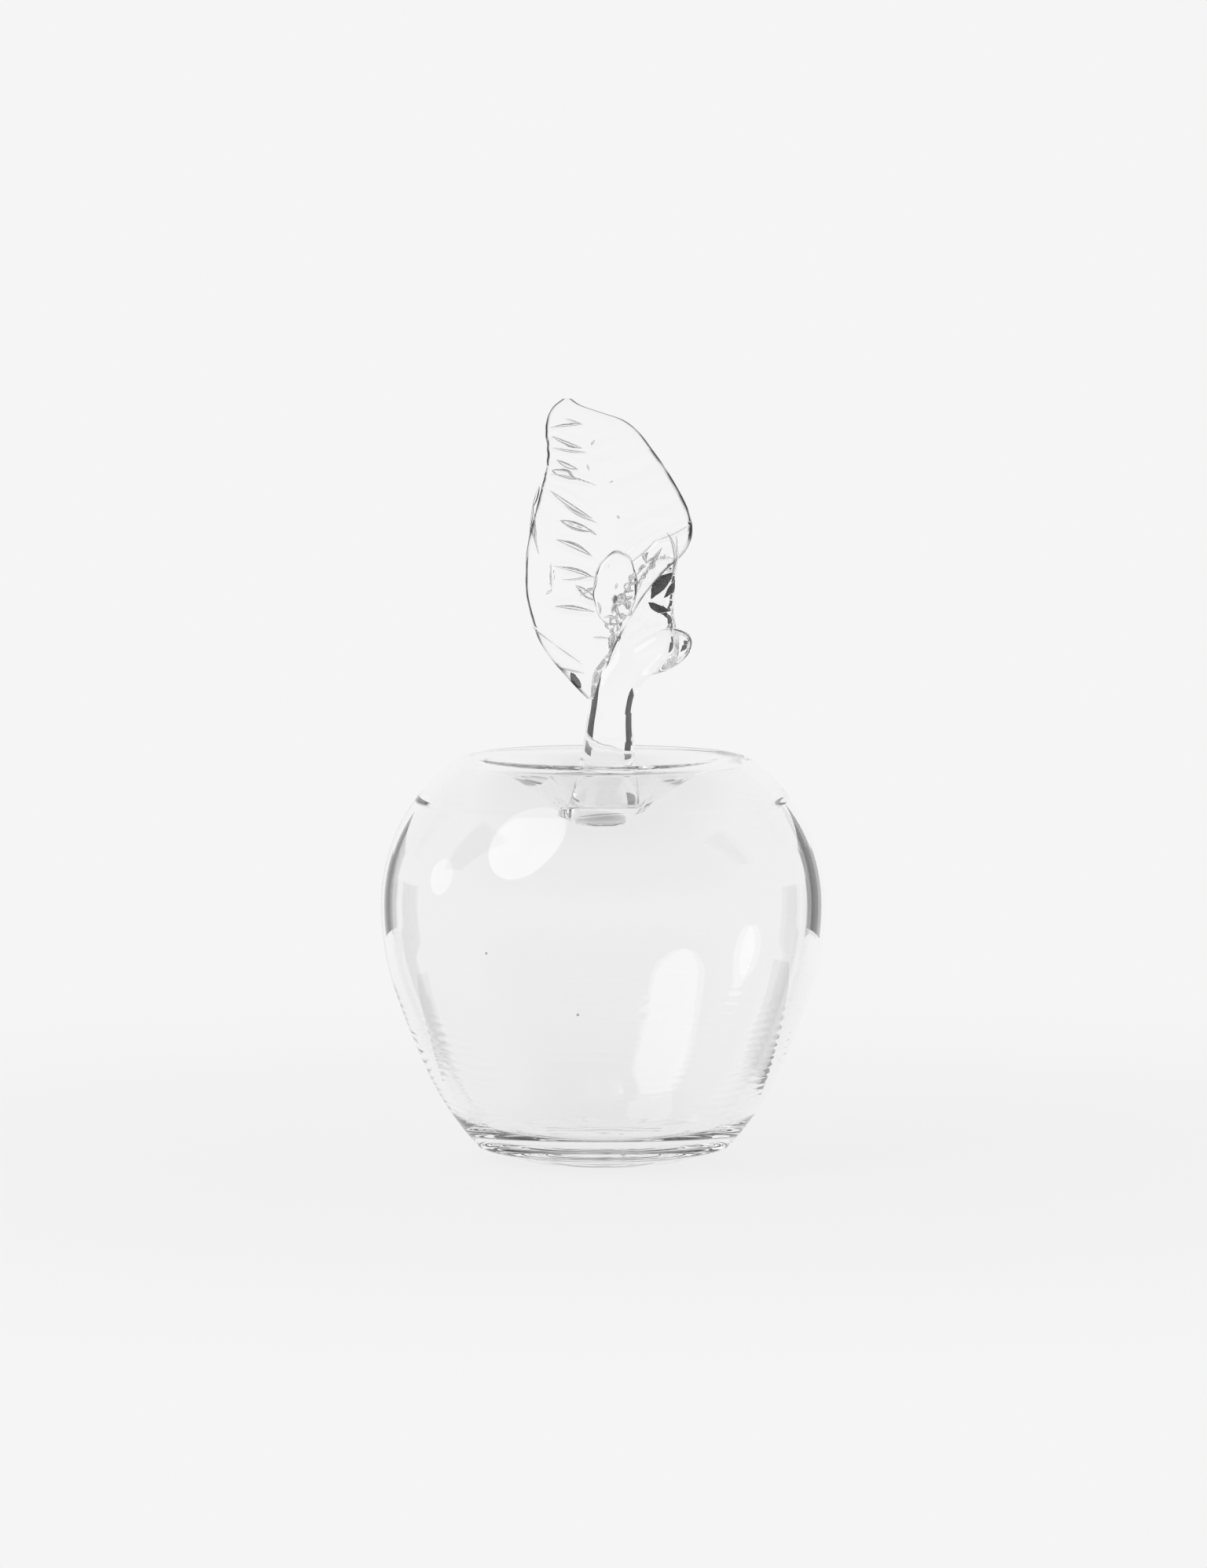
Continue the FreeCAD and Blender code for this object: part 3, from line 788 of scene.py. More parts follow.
    def round_end(self) -> bmesh.types.BMesh:
        """Rounds the lobe at the stem's lower right, with painted shade round its right end.

        Returns:
            Its skin.
        """
        mesh = bmesh.new()
        sides, rings = self.lobe_facets
        bmesh.ops.create_uvsphere(mesh, u_segments=sides, v_segments=rings, radius=1.0)
        levels = []
        for vert in mesh.verts:
            off = abs(math.hypot(vert.co.x, vert.co.z) - self.lobe_line_share)
            level = self.lobe_line_level - off / self.lobe_line_width
            levels.append(level if vert.co.x > self.lobe_line_from else 0.0)
        paint_shade(mesh, levels)
        set_down(mesh, self.lobe_halves, -self.lobe_tilt, self.lobe_middle)
        return mesh

    def build(self) -> tuple[bpy.types.Object, bpy.types.Object]:
        """Makes the stem and its lobe.

        Returns:
            The stem and the lobe.
        """
        for face in self.shaft.faces:
            if abs(face.calc_center_median().z - self.foot_height) < LEVEL_DISTANCE:
                face.material_index = 1
        backs = [bowed(self.rows, (fold.start[1] + fold.end[1]) / 2)[3] for fold in self.folds]
        trap(self.shaft, list(zip(self.folds, backs)))
        stem = finished("drawn_stem", self.shaft, self.materials, "stem")
        lobe = finished("stem_lobe", self.lobe, self.materials)
        return stem, lobe


@dataclass(frozen=True)
class Press:
    """One mark pressed in the leaf's face: from one end to the other, in millimetres."""

    start: tuple[float, float]
    end: tuple[float, float]
    width: float
    depth: float
    # whether it narrows to its ends, how wide these are, and what its middle adds to that
    lens: bool = True
    end_share: float = 0.55
    swell_share: float = 0.45
    # how far it fades out past each end, as a share of its length
    overrun: float = 0.15
    # the soft lips that the press pushes up beside it, in shares of its depth and width
    lip_height: float = 0.35
    lip_place: float = 2.0
    reach: float = 4.0

    def at(self, x: float, z: float) -> float:
        """Reads how deep the mark is at a place on the leaf's face.

        Args:
            x: Millimetres to the right.
            z: The height.

        Returns:
            The depth in millimetres, below zero on its lips.
        """
        run = (self.end[0] - self.start[0], self.end[1] - self.start[1])
        length_squared = run[0] ** 2 + run[1] ** 2
        t = ((x - self.start[0]) * run[0] + (z - self.start[1]) * run[1]) / length_squared
        if not -self.overrun < t < 1 + self.overrun:
            return 0.0
        off = math.hypot(x - self.start[0] - run[0] * t, z - self.start[1] - run[1] * t)
        if off > self.reach * self.width:
            return 0.0
        fade = 2 * self.overrun
        ends = clamped((t + self.overrun) / fade) * clamped((1 + self.overrun - t) / fade)
        swell = self.end_share + self.swell_share * math.sin(math.pi * clamped(t))
        wide = self.width * (swell if self.lens else 1.0)
        groove = math.exp(-(off / wide) ** 2)
        lips = self.lip_height * math.exp(-((off - self.lip_place * wide) / wide) ** 2)
        return self.depth * ends * (groove - lips)


@dataclass
class PressedLeaf:
    """The leaf: a pressed plate of glass with side veins, a crimped edge and a seam of air slivers where it
    was folded on to the stem.
    """

    materials: list[bpy.types.Material]
    segments: int = 208
    step: float = 0.36
    root: float = 104.0
    length: float = 67.2
    width: float = 37.5
    offset: float = 1.2
    forward: float = 2.2
    lean: float = 4.0
    thickness: float = 3.8
    # how flat its two halves are: two is an ellipse, more is a plate with a round rim
    left_square: float = 4.2
    right_square: float = 3.0
    # share of the length, left and right edge as shares of the width, share of the thickness
    rows: tuple[tuple[float, ...], ...] = (
        (0.000, -0.130, -0.060, 0.50),
        (0.040, -0.200, -0.025, 0.66),
        (0.090, -0.280, -0.008, 0.80),
        (0.140, -0.355, 0.013, 0.90),
        (0.200, -0.422, 0.060, 0.97),
        (0.270, -0.463, 0.132, 1.00),
        (0.345, -0.494, 0.212, 1.00),
        (0.420, -0.500, 0.325, 1.00),
        (0.490, -0.493, 0.455, 0.98),
        (0.555, -0.472, 0.500, 0.96),
        (0.630, -0.437, 0.476, 0.93),
        (0.710, -0.401, 0.405, 0.89),
        (0.775, -0.374, 0.333, 0.85),
        (0.835, -0.370, 0.256, 0.80),
        (0.890, -0.380, 0.178, 0.75),
        (0.930, -0.372, 0.085, 0.69),
        (0.955, -0.355, -0.045, 0.62),
        (0.978, -0.326, -0.165, 0.54),
        (1.000, -0.275, -0.225, 0.32),
    )
    veins: tuple[Press, ...] = (
        Press((-12.3, 164.7), (-4.6, 165.4), 0.45, 0.4),
        Press((-8.8, 166.8), (-4.4, 165.5), 0.35, 0.3),
        Press((-11.6, 162.9), (-4.6, 160.1), 0.55, 0.55),
        Press((-11.5, 160.3), (-3.7, 159.2), 0.5, 0.45),
        Press((-10.6, 157.6), (-5.5, 155.3), 0.7, 0.65),
        Press((-12.0, 154.4), (-1.4, 151.8), 0.5, 0.45),
        Press((-12.0, 150.6), (-1.8, 143.9), 0.8, 0.75),
        Press((-9.7, 144.4), (-1.4, 141.2), 0.8, 0.4),
        Press((-10.8, 139.8), (-2.3, 135.9), 0.75, 0.65),
        Press((-11.1, 133.8), (-1.4, 131.0), 0.6, 0.55),
        Press((-9.5, 130.8), (-1.4, 131.2), 0.45, 0.35),
        Press((-11.6, 134.7), (-11.5, 128.3), 0.55, 0.6),
        Press((-5.8, 129.4), (-1.1, 125.8), 1.1, 0.8),
        Press((-11.1, 124.8), (-1.8, 123.5), 0.75, 0.65),
        Press((-2.6, 117.9), (1.2, 117.7), 0.45, 0.45),
        Press((-10.6, 111.2), (-4.1, 109.7), 0.5, 0.4),
        Press((-16.4, 120.4), (-4.6, 111.7), 0.6, 0.35),
        Press((-1.8, 161.5), (2.5, 163.6), 0.7, 0.3, False),
        Press((-2.3, 158.0), (1.8, 158.8), 0.6, 0.3, False),
        Press((1.8, 152.7), (10.6, 156.6), 1.3, 0.25, False),
        Press((3.5, 144.2), (16.6, 148.8), 1.5, 0.3, False),
        Press((3.5, 136.4), (11.3, 143.0), 1.2, 0.35, False),
        Press((5.3, 134.1), (11.3, 139.4), 0.7, 0.5, False),
        Press((11.3, 139.4), (20.3, 142.8), 0.6, 0.6, False),
    )
    # slivers of air in the leaf, each with a painted dark line round its edge; the last is painted dark all
    # over, painted shade by the root
    pockets: tuple[Pocket, ...] = (
        Pocket((-12.0, 164.7), (-4.6, 165.4), 0.42, bow=-0.3),
        Pocket((-8.8, 166.8), (-4.4, 165.5), 0.25),
        Pocket((-11.6, 162.9), (-4.6, 160.1), 0.6, bow=0.4),
        Pocket((-11.5, 160.3), (-3.7, 159.2), 0.42, bow=0.3),
        Pocket((-10.6, 157.6), (-5.5, 155.3), 0.75, bow=0.3),
        Pocket((-11.6, 155.2), (-6.0, 153.2), 1.0, 0.9, bow=-0.2),
        Pocket((-12.0, 154.4), (-1.4, 151.8), 0.32, bow=-0.5),
        Pocket((-12.0, 150.8), (-2.2, 144.3), 0.75, bow=0.5),
        Pocket((-9.0, 147.4), (-1.2, 143.4), 0.3, bow=0.5, forward=0.9),
        Pocket((-9.9, 144.0), (-2.4, 141.4), 1.15, 0.8),
        Pocket((-8.2, 143.4), (-6.6, 142.8), 0.45, forward=-0.6),
        Pocket((-6.2, 142.7), (-4.6, 142.1), 0.5, forward=-0.6),
        Pocket((-3.6, 142.3), (-1.6, 140.6), 0.4),
        Pocket((-10.8, 139.8), (-2.3, 135.9), 0.85, bow=-0.5),
        Pocket((-11.1, 133.8), (-1.4, 131.0), 0.65, bow=-0.5),
        Pocket((-9.6, 130.9), (-2.2, 131.9), 0.3, bow=0.5, forward=0.9),
        Pocket((-11.8, 134.9), (-11.6, 128.4), 0.36, bow=0.3),
        Pocket((-11.6, 128.6), (-12.9, 127.4), 0.3),
        Pocket((-6.4, 129.6), (-1.1, 125.9), 1.1, 1.0, bow=0.2),
        Pocket((-5.4, 127.0), (-1.6, 129.0), 0.5, bow=-0.4, forward=0.9),
        Pocket((-11.1, 124.8), (-1.8, 123.5), 0.75, bow=-0.4),
        Pocket((-2.6, 117.9), (1.2, 117.7), 0.35),
        Pocket((-10.6, 111.2), (-4.1, 109.7), 0.3),
        Pocket((-16.2, 120.2), (-10.9, 116.2), 0.22),
        Pocket((-11.3, 116.4), (-4.6, 111.7), 0.22),
        Pocket((-14.4, 151.8), (-15.8, 147.0), 0.5),
        Pocket((-15.6, 149.0), (-16.6, 141.0), 0.3),
        Pocket((-15.6, 146.2), (-15.0, 138.4), 0.26, lean=20.0),
        Pocket((-16.4, 143.5), (-14.4, 136.2), 0.22),
        Pocket((-2.0, 162.1), (-2.8, 160.7), 0.28),
        Pocket((-3.7, 156.6), (-3.2, 155.0), 0.24),
        Pocket((3.0, 145.1), (3.6, 144.3), 0.3),
        Pocket((1.2, 152.4), (2.2, 152.8), 0.2),
        Pocket((5.3, 134.1), (11.8, 139.9), 0.3, bow=0.5),
        Pocket((11.0, 139.4), (19.0, 142.9), 0.28, bow=0.4),
        Pocket((14.0, 141.6), (15.4, 132.4), 0.4, bow=-1.2),
        Pocket((16.2, 140.8), (15.2, 131.0), 0.35, bow=-0.8, forward=0.9),
        Pocket((-7.4, 109.8), (-5.0, 106.4), 0.8, 0.3, shade=0.9),
    )
    seam: tuple[tuple[float, float], ...] = (
        (1.0, 115.4), (3.0, 121.8), (5.0, 127.4), (8.4, 132.4), (12.4, 136.6),
    )
    # the slivers along the seam: how many, how far they stray, turn and bend, and how much painted shade they
    # carry
    seam_pockets: int = 46
    seam_spread: float = 2.2
    seam_turn: float = 1.1
    seam_bow: float = 1.1
    seam_shade: float = 0.3
    # their least half length and half width, and what chance adds to each at most
    seam_halves: tuple[float, float] = (0.7, 1.8)
    seam_widths: tuple[float, float] = (0.2, 0.5)
    # the left edge's crimps, pushed back and a little inwards, and how closely they keep to it
    crimp_from: float = 148.0
    crimp_to: float = 169.0
    crimp_pitch: float = 2.7
    crimp_depth: float = 0.16
    crimp_inwards: float = 0.4
    crimp_hug: int = 6
    # the soft waves of both faces, which stop short of the rim
    wave_height: float = 0.22
    wave_length: float = 9.0
    rim: float = 1.2
    # finer waves on the front: how much finer, and how high as a share of the others
    fine_waves: tuple[float, float] = (2.3, 0.4)
    # the rim's painted shade, a dark line: its widths, where it is bold on each side, and how it comes and
    # goes
    fine_line: float = 0.75
    bold_line: float = 1.1
    bold_right: tuple[float, float] = (132.0, 160.0)
    bold_left_top: float = 112.0
    line_level: float = 0.8
    line_change: float = 1.1
    line_patch: float = 3.5
    line_gain: float = 1.5
    # where in Blender's noise the painted line, the back's waves and the slivers take their chance from;
    # noise.noise gives the same in each run, which noise.noise_vector doesn't
    line_chance: float = 3.0
    back_chance: float = 7.0
    seam_pitch: float = 3.7
    seam_row: float = 1.3
    seam_chances: tuple[float, float, float] = (8.1, 13.8, 19.5)

    def __post_init__(self) -> None:
        """Presses the blade, with painted shade along its rim."""
        self.levels: list[float] = []
        self.blade = ring_loft(self.rings())
        paint_shade(self.blade, self.levels)

    def sunk(self, x: float, z: float) -> float:
        """Reads how far the front face is sunk by its marks and waves.

        Args:
            x: Millimetres to the right.
            z: The height.

        Returns:
            The depth in millimetres.
        """
        marks = sum(vein.at(x, z) for vein in self.veins)
        place = Vector((x, 0.0, z)) / self.wave_length
        finer, share = self.fine_waves
        wave = noise.noise(place) + share * noise.noise(place * finer)
        return marks + self.wave_height * wave

    def crimp(self, height: float) -> float:
        """Reads how far the left edge is pushed back.

        Args:
            height: The height.

        Returns:
            The push in millimetres.
        """
        if not self.crimp_from < height < self.crimp_to:
            return 0.0
        fade = math.sin(math.pi * (height - self.crimp_from) / (self.crimp_to - self.crimp_from))
        return self.crimp_depth * fade * math.sin(2 * math.pi * height / self.crimp_pitch)

    def painted_rim_shade(self, across: float, inset: float, height: float) -> float:
        """Reads how much painted shade, as a dark line, the rim shows.

        Args:
            across: The place from the left edge, at -1, to the right edge, at 1.
            inset: Millimetres from the rim.
            height: The height.

        Returns:
            The line's level there.
        """
        low, high = self.bold_right
        bold = low < height < high if across > 0 else height < self.bold_left_top
        width = self.bold_line if bold else self.fine_line
        patch = noise.noise(Vector((across, self.line_chance, height)) / self.line_patch)
        return (self.line_level + self.line_change * patch) * (1 - inset / width) * self.line_gain

    def rings(self) -> list[list[Vector]]:
        """Lays out the leaf's level rings, and notes the painted shade that each point shows.

        Returns:
            The rings from the root to the tip.
        """
        rings = []
        count = round(self.length / self.step)
        for number in range(count + 1):
            share = number / count
            left, right, thick = bowed(self.rows, share)
            height = self.root + self.length * share
            middle = self.offset + self.width * (left + right) / 2
            half = self.width * (right - left) / 2
            back = self.lean * share ** 2 - self.forward
            crimp = self.crimp(height)
            ring = []
            for point in range(self.segments):
                angle = 2 * math.pi * point / self.segments
                across, facing = math.cos(angle), math.sin(angle)
                square = self.right_square if across > 0 else self.left_square
                bulge = math.copysign(max(0.0, 1 - abs(across) ** square) ** (1 / square), facing)
                x, y = middle + half * across, back + self.thickness / 2 * thick * bulge
                inset = (1 - abs(across)) * half
                self.levels.append(self.painted_rim_shade(across, inset, height))
                if facing < 0:
                    relief = self.sunk(x, height)
                else:
                    spot = Vector((x, self.back_chance, height)) / self.wave_length
                    relief = self.wave_height * noise.noise(spot)
                y += relief * min(1.0, inset / self.rim)
                hug = max(0.0, -across) ** self.crimp_hug
                ring.append(Vector((x - self.crimp_inwards * crimp * hug, y + crimp * hug, height)))
            rings.append(ring)
        return rings

    def crumpled_seam(self) -> list[Pocket]:
        """Strews small slivers of air along the seam where the leaf was folded on to the stem.

        Returns:
            The slivers, from the root upwards.
        """
        pockets = []
        for number in range(self.seam_pockets):
            place = number / (self.seam_pockets - 1) * (len(self.seam) - 1)
            leg = min(int(place), len(self.seam) - 2)
            (x0, z0), (x1, z1) = self.seam[leg], self.seam[leg + 1]
            x, z = x0 + (x1 - x0) * (place - leg), z0 + (z1 - z0) * (place - leg)
            spots = ((number * self.seam_pitch, self.seam_row, chance) for chance in self.seam_chances)
            shift, bend, size = (noise.noise(Vector(spot)) for spot in spots)
            x += shift * self.seam_spread
            angle = math.atan2(x1 - x0, z1 - z0) + bend * self.seam_turn
            half = self.seam_halves[0] + abs(size) * self.seam_halves[1]
            reach = (math.sin(angle) * half, math.cos(angle) * half)
            start, end = (x - reach[0], z - reach[1]), (x + reach[0], z + reach[1])
            width = self.seam_widths[0] + abs(bend) * self.seam_widths[1]
            bow = shift * self.seam_bow
            pockets.append(Pocket(start, end, width, 1.0, bow=bow, forward=size, shade=self.seam_shade))
        return pockets

    def build(self) -> bpy.types.Object:
        """Makes the leaf.

        Returns:
            The finished leaf.
        """
        caught = []
        for pocket in (*self.pockets, *self.crumpled_seam()):
            share = ((pocket.start[1] + pocket.end[1]) / 2 - self.root) / self.length
            caught.append((pocket, self.lean * share ** 2 - self.forward))
        trap(self.blade, caught)
        return finished("pressed_leaf", self.blade, self.materials, "leaf")


@dataclass
class WeldBit:
    """The small bit of glass on the leaf's face, with a rounded lower end."""

    materials: list[bpy.types.Material]
    middle: tuple[float, float, float] = (2.6, -4.4, 129.0)
    halves: tuple[float, float, float] = (4.9, 2.2, 8.3)
    tilt: float = 6.0
    squareness: float = 3.4
    facets: int = 96
    # the rim's painted shade, a dark line: its width as a share of the half size, and how it comes and goes
    line_share: float = 0.08
    line_level: float = 0.6
    line_change: float = 1.2
    line_grain: float = 2.6
    # the skin's bumps, as a share of the half size
    bump_share: float = 0.05
    bump_grain: float = 2.2
    # rings of air, each with a painted dark line round its edge, and one painted darker, painted shade
    rings: tuple[Pocket, ...] = (
        Pocket((3.1, 125.8), (4.9, 127.8), 1.15, 0.9),
        Pocket((3.8, 126.6), (4.4, 127.2), 0.5, 0.9, shade=0.4, forward=1.2),
        Pocket((5.2, 128.4), (5.9, 129.6), 0.4),
        Pocket((6.0, 131.0), (6.8, 132.6), 0.45),
        Pocket((2.6, 128.8), (3.0, 130.2), 0.3),
        Pocket((0.2, 122.6), (3.2, 121.9), 0.35, bow=-0.5),
        Pocket((-1.2, 126.0), (-0.6, 123.2), 0.3, bow=-0.3),
    )

    def __post_init__(self) -> None:
        """Drops the bit of glass on the leaf, with painted shade along its rim."""
        mesh = bmesh.new()
        bmesh.ops.create_uvsphere(mesh, u_segments=self.facets, v_segments=self.facets, radius=1.0)
        levels = []
        for vert in mesh.verts:
            wide = min(1.0, math.hypot(vert.co.x, vert.co.z))
            vert.co.y = math.copysign((1 - wide ** self.squareness) ** (1 / self.squareness), vert.co.y)
            level = self.line_level + self.line_change * noise.noise(vert.co * self.line_grain)
            levels.append((wide - (1 - self.line_share)) / self.line_share * level)
            bump = noise.noise(vert.co * self.bump_grain)
            vert.co += vert.co.normalized() * bump * self.bump_share
        paint_shade(mesh, levels)
        set_down(mesh, self.halves, self.tilt, self.middle)
        self.drop = mesh

    def build(self) -> bpy.types.Object:
        """Traps the bit's air and finishes it."""
        trap(self.drop, [(pocket, self.middle[1]) for pocket in self.rings])
        return finished("weld_bit", self.drop, self.materials, "leaf_weld_bit")


def melt_together(skins: list[bmesh.types.BMesh]) -> None:
    """Marks how deep each skin lies inside the others, and which of its faces are welded.

    Args:
        skins: Closed skins of one glass that run into each other, in one frame.
    """
    trees = []
    for skin in skins:
        box = [[pick(vert.co[axis] for vert in skin.verts) for axis in range(3)] for pick in (min, max)]
        trees.append((skin, BVHTree.FromBMesh(skin), *box))
    for skin in skins:
        layer = skin.verts.layers.float.new(BURIED)
        for vert in skin.verts:
            depths = [-1.0]
            for other, tree, low, high in trees:
                if other is not skin and all(low[a] < vert.co[a] < high[a] for a in range(3)):
                    place, normal, _, distance = tree.find_nearest(vert.co)
                    depths.append(math.copysign(distance, (place - vert.co).dot(normal)))
            vert[layer] = max(depths)
        for face in skin.faces:
            sunk = [vert[layer] > 0 for vert in face.verts]
            face.material_index = 1 if all(sunk) else 2 * any(sunk)


@dataclass(frozen=True)
class Flag:
    """A dark panel that only the glass shows, as it shows the dark parts of a real room."""

    name: str
    # metres, the turn in degrees from square to the camera, and the tilt in degrees from upright
    place: tuple[float, float, float]
    size: tuple[float, float]
    turn: float
    level: float = 0.06
    tilt: float = 0.0

    def beside(self, side: int, name: str) -> "Flag":
        """Copies the flag, given for the right, to the side 1 or -1, and adds to its name."""
        place = (side * self.place[0], *self.place[1:])
        return replace(self, name=f"{self.name}_{name}", place=place, turn=side * self.turn)

    def stand(self) -> None:
        """Stands the flag in the studio, where only light from within the glass meets it."""
        material = bare_material(self.name)
        tree = material.node_tree
        dark = add_node(tree, "Emission", {"Color": (self.level, self.level, self.level, 1.0)})
        add_node(tree, "OutputMaterial", links={"Surface": dark.outputs[0]})
        mesh = bmesh.new()
        bmesh.ops.create_grid(mesh, x_segments=1, y_segments=1, size=0.5)
        panel = placed(self.name, mesh, [material])
        panel.location = self.place
        panel.rotation_euler = Euler((math.radians(90.0 - self.tilt), 0.0, math.radians(self.turn)))
        panel.scale = (*self.size, 1.0)
        panel.visible_camera = False
        panel.visible_diffuse = False
        panel.visible_shadow = False
        panel.visible_glossy = False


@dataclass(frozen=True)
class Softbox:
    """A lamp with a round cloth front that faces the object."""

    name: str
    # degrees to the right of the way from the object to the camera, and degrees above the table
    azimuth: float
    elevation: float
    # metres
    distance: float
    radius: float
    # how bright its face looks, where the backdrop is about one
    level: float
    # its height as a share of its width
    stretch: float = 1.0
    # whether a gloss shows it
    mirrored: bool = True
    aim_height: float = 0.05

    def hang(self) -> None:
        """Hangs the lamp and turns its front to the object."""
        data = bpy.data.lights.new(self.name, "AREA")
        data.shape = "ELLIPSE"
        data.size = self.radius * 2
        data.size_y = self.radius * 2 * self.stretch
        data.energy = self.level * math.pi * math.pi * self.radius ** 2 * self.stretch
        lamp = bpy.data.objects.new(self.name, data)
        azimuth, elevation = math.radians(self.azimuth), math.radians(self.elevation)
        level_way = (math.sin(azimuth) * math.cos(elevation), -math.cos(azimuth) * math.cos(elevation))
        way = Vector((*level_way, math.sin(elevation)))
        lamp.location = way * self.distance + Vector((0, 0, self.aim_height))
        lamp.rotation_euler = way.to_track_quat("Z", "Y").to_euler()
        bpy.context.scene.collection.objects.link(lamp)
        lamp.visible_camera = False
        lamp.visible_glossy = self.mirrored


@dataclass
class Studio:
    """The white table, the backdrop, the flags and the lamps, and the camera at the photo's place."""

    # what stands on both sides is given here for the right one
    side_flags: tuple[Flag, ...] = (
        Flag("near_flag", (0.23, 0.31, 0.038), (0.16, 0.076), -32.0),
        Flag("far_flag", (0.66, 1.02, 0.13), (0.42, 0.26), -16.0),
    )
    cards: tuple[Flag, ...] = (
        Flag("card_right", (0.125, 0.032, 0.0006), (0.13, 0.05), 15.0, 0.12, tilt=90.0),
        Flag("card_left", (-0.11, 0.028, 0.0006), (0.09, 0.03), -15.0, 0.3, tilt=90.0),
    )
    lamps: tuple[Softbox, ...] = (
        Softbox("round_softbox", -53.0, 43.0, 1.5, 0.47, 1.35, stretch=1.35),
        Softbox("small_softbox", -97.0, 13.0, 1.4, 0.2, 1.3, mirrored=False),
    )
    backdrop: str = "F5F5F5"
    camera_place: tuple[float, float, float] = (0.0, -1.829, 0.2376)
    camera_pitch: float = 4.707
    focal_pixels: float = 10382.71
    picture: tuple[int, int] = (1536, 1996)
    base_row: float = 1473.04
    sensor: float = 24.0
    bounces: int = 32
    # the room behind the camera and the ceiling as shares of the backdrop's white, and the shares
    # of the way there between which each sets in
    room_level: float = 0.55
    room_between: tuple[float, float] = (0.1, -0.6)
    room_rise: float = 0.5
    ceiling_level: float = 0.4
    ceiling_between: tuple[float, float] = (0.6, 0.92)
    # metres, and a hair below the foot, so that the two don't flicker into each other
    floor_size: float = 12.0
    floor_height: float = -0.00002
    # how much of the table is lit and takes a shadow by the foot, and where this ends, in metres
    lit_share: float = 0.12
    lit_between: tuple[float, float] = (0.1, 0.36)

    def camera(self) -> None:
        """Puts the camera where the photo was taken from."""
        data = bpy.data.cameras.new("camera")
        camera = bpy.data.objects.new("camera", data)
        bpy.context.scene.collection.objects.link(camera)
        bpy.context.scene.camera = camera
        pitch = math.radians(self.camera_pitch)
        camera.location = self.camera_place
        camera.rotation_euler = Euler((math.pi / 2 - pitch, 0.0, 0.0))
        data.sensor_fit = "VERTICAL"
        data.sensor_height = self.sensor
        data.lens = self.focal_pixels * self.sensor / self.picture[1]
        away, up = -self.camera_place[1], self.camera_place[2]
        drop = away * math.sin(pitch) - up * math.cos(pitch)
        level = drop / (away * math.cos(pitch) + up * math.sin(pitch))
        row = self.picture[1] / 2 - self.focal_pixels * level
        data.shift_y = (self.base_row - row) / self.picture[1]

    def world(self) -> None:
        """Lights everything softly, with less from the room behind the camera and from the ceiling."""
        world = bpy.data.worlds.new("studio")
        bpy.context.scene.world = world
        world.use_nodes = True
        tree = world.node_tree
        soft = {".interpolation_type": "SMOOTHSTEP"}
        way = add_node(tree, "SeparateXYZ", links={"Vector": add_node(tree, "TexCoord").outputs["Generated"]})
        low, high = self.room_between
        room = {"From Min": low, "From Max": high, "To Max": 1.0 - self.room_level}
        front = add_node(tree, "MapRange", soft | room, {"Value": way.outputs["Y"]})
        raised = add_node(tree, "MapRange", soft | {"From Max": self.room_rise}, {"Value": way.outputs["Z"]})
        product = {".operation": "MULTIPLY"}
        shade = add_node(tree, "Math", product, {0: front.outputs[0], 1: raised.outputs[0]})
        lit = add_node(tree, "Math", {".operation": "SUBTRACT", 0: 1.0}, {1: shade.outputs[0]})
        low, high = self.ceiling_between
        ceiling = {"From Min": low, "From Max": high, "To Min": 1.0, "To Max": self.ceiling_level}
        above = add_node(tree, "MapRange", soft | ceiling, {"Value": way.outputs["Z"]})
        both = add_node(tree, "Math", product, {0: lit.outputs[0], 1: above.outputs[0]})
        seen = add_node(tree, "LightPath").outputs["Is Camera Ray"]
        level = add_node(tree, "Math", {".operation": "MAXIMUM"}, {0: both.outputs[0], 1: seen})
        background = tree.nodes["Background"]
        background.inputs["Color"].default_value = linear(self.backdrop)
        tree.links.new(level.outputs[0], background.inputs["Strength"])

    def floor(self) -> None:
        """Lays the table: mostly as bright as the backdrop, and partly lit, so that a soft shadow shows."""
        material = bare_material("white_table")
        tree = material.node_tree
        glow = add_node(tree, "Emission", {"Color": linear(self.backdrop)})
        matt = add_node(tree, "BsdfDiffuse", {"Color": linear("FFFFFF")})
        place = add_node(tree, "TexCoord")
        far = add_node(tree, "VectorMath", {".operation": "LENGTH"}, {"Vector": place.outputs["Object"]})
        low, high = self.lit_between
        fade = {"From Min": low, "From Max": high, "To Min": self.lit_share, "To Max": 0.0}
        pool = add_node(tree, "MapRange", {".interpolation_type": "SMOOTHSTEP"} | fade,
                        {"Value": far.outputs["Value"]})
        mix = add_node(tree, "MixShader", links={"Fac": pool.outputs["Result"]})
        tree.links.new(glow.outputs[0], mix.inputs[1])
        tree.links.new(matt.outputs[0], mix.inputs[2])
        add_node(tree, "OutputMaterial", links={"Surface": mix.outputs[0]})
        mesh = bmesh.new()
        bmesh.ops.create_grid(mesh, x_segments=1, y_segments=1, size=self.floor_size)
        table = placed("table", mesh, [material])
        table.location.z = self.floor_height

    def build(self) -> None:
        """Sets up the whole studio."""
        bpy.context.scene.view_settings.view_transform = "Standard"
        cycles = bpy.context.scene.cycles
        cycles.max_bounces = cycles.transmission_bounces = cycles.glossy_bounces = self.bounces
        self.camera()
        self.world()
        self.floor()
        for side, name in ((-1, "left"), (1, "right")):
            for flag in self.side_flags:
                flag.beside(side, name).stand()
        for card in self.cards:
            card.stand()
        for lamp in self.lamps:
            lamp.hang()


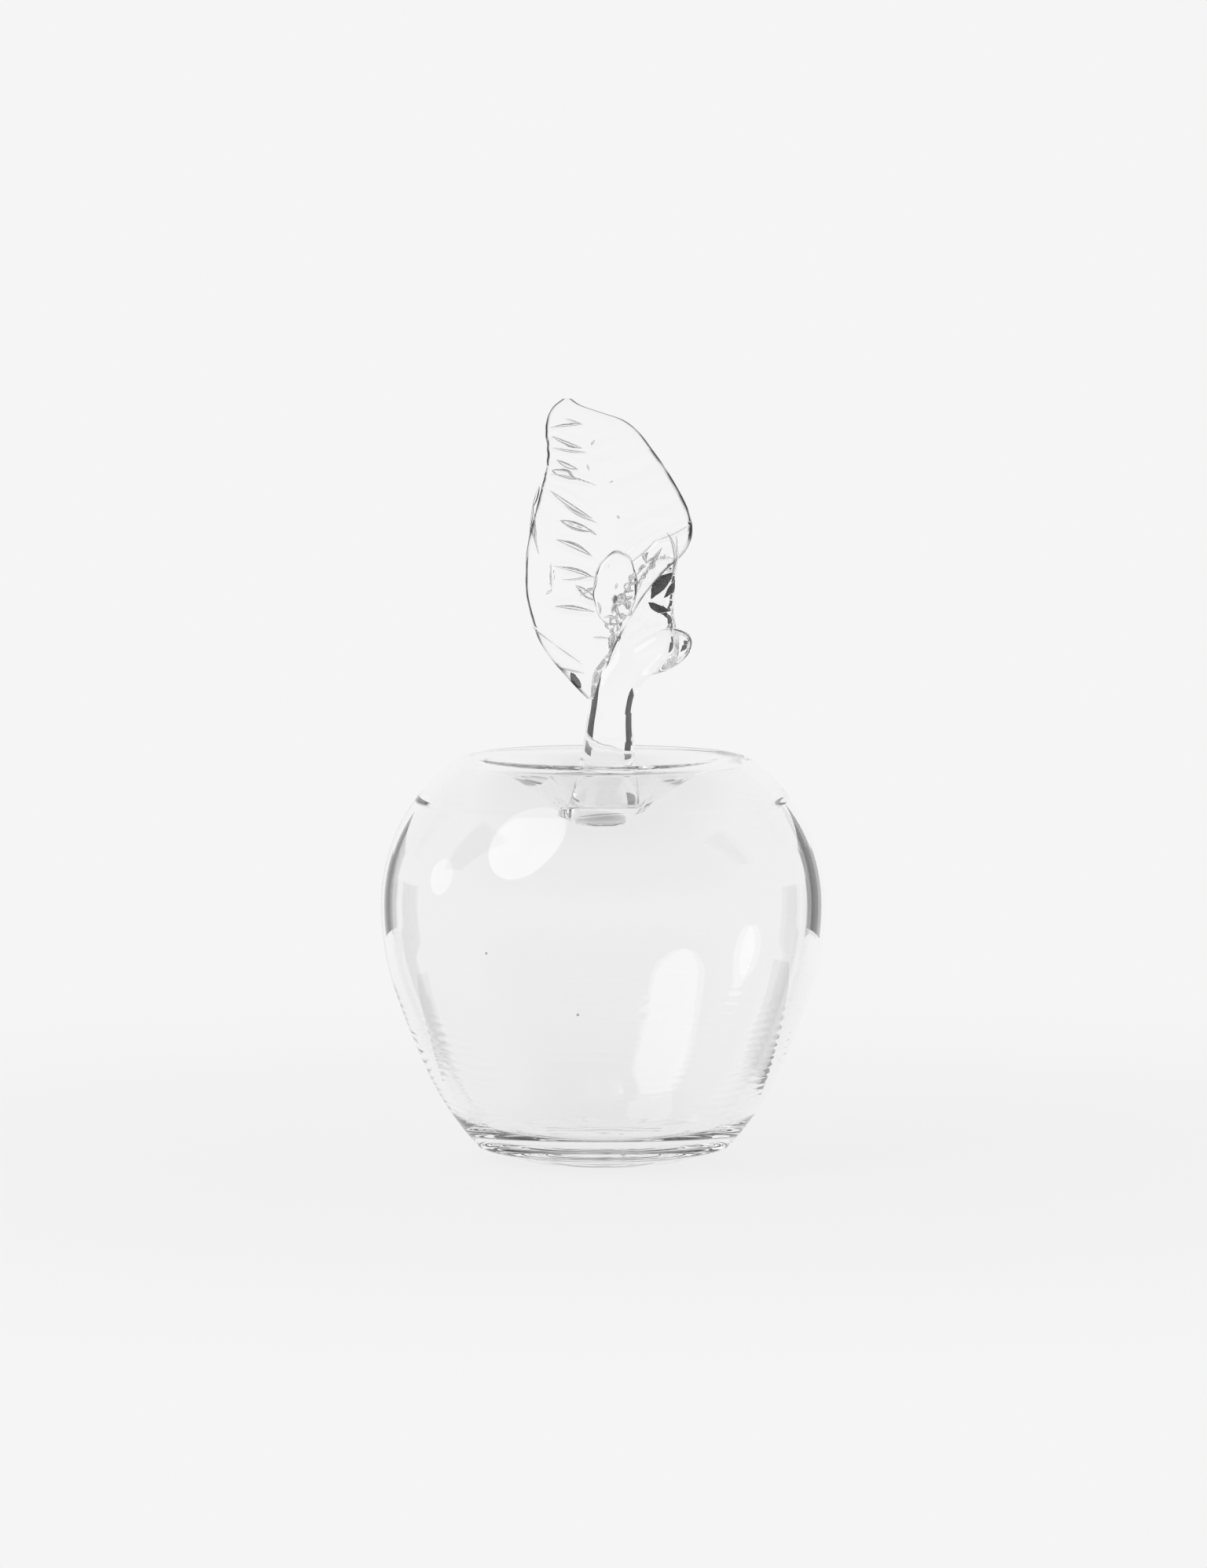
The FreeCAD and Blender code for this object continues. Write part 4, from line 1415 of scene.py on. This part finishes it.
def main() -> None:
    """Builds the studio and the apple, piece by piece."""
    logging.basicConfig(level=logging.INFO, format="%(message)s")
    colours = {"blown": "FCFCFC", "drawn": "FFFFFF", "pressed": "FFFFFF"}
    blown, drawn, pressed = (HotWeld(ClearGlass(f"{way}_clear_glass", colour)).materials()
                             for way, colour in colours.items())
    Studio().build()
    BlownApple(blown).build()
    stem, leaf, bit = DrawnStem(drawn), PressedLeaf(pressed), WeldBit(pressed)
    melt_together([stem.shaft, stem.lobe, leaf.blade, bit.drop])
    for piece in (stem, leaf, bit):
        piece.build()


if __name__ == "__main__":
    main()
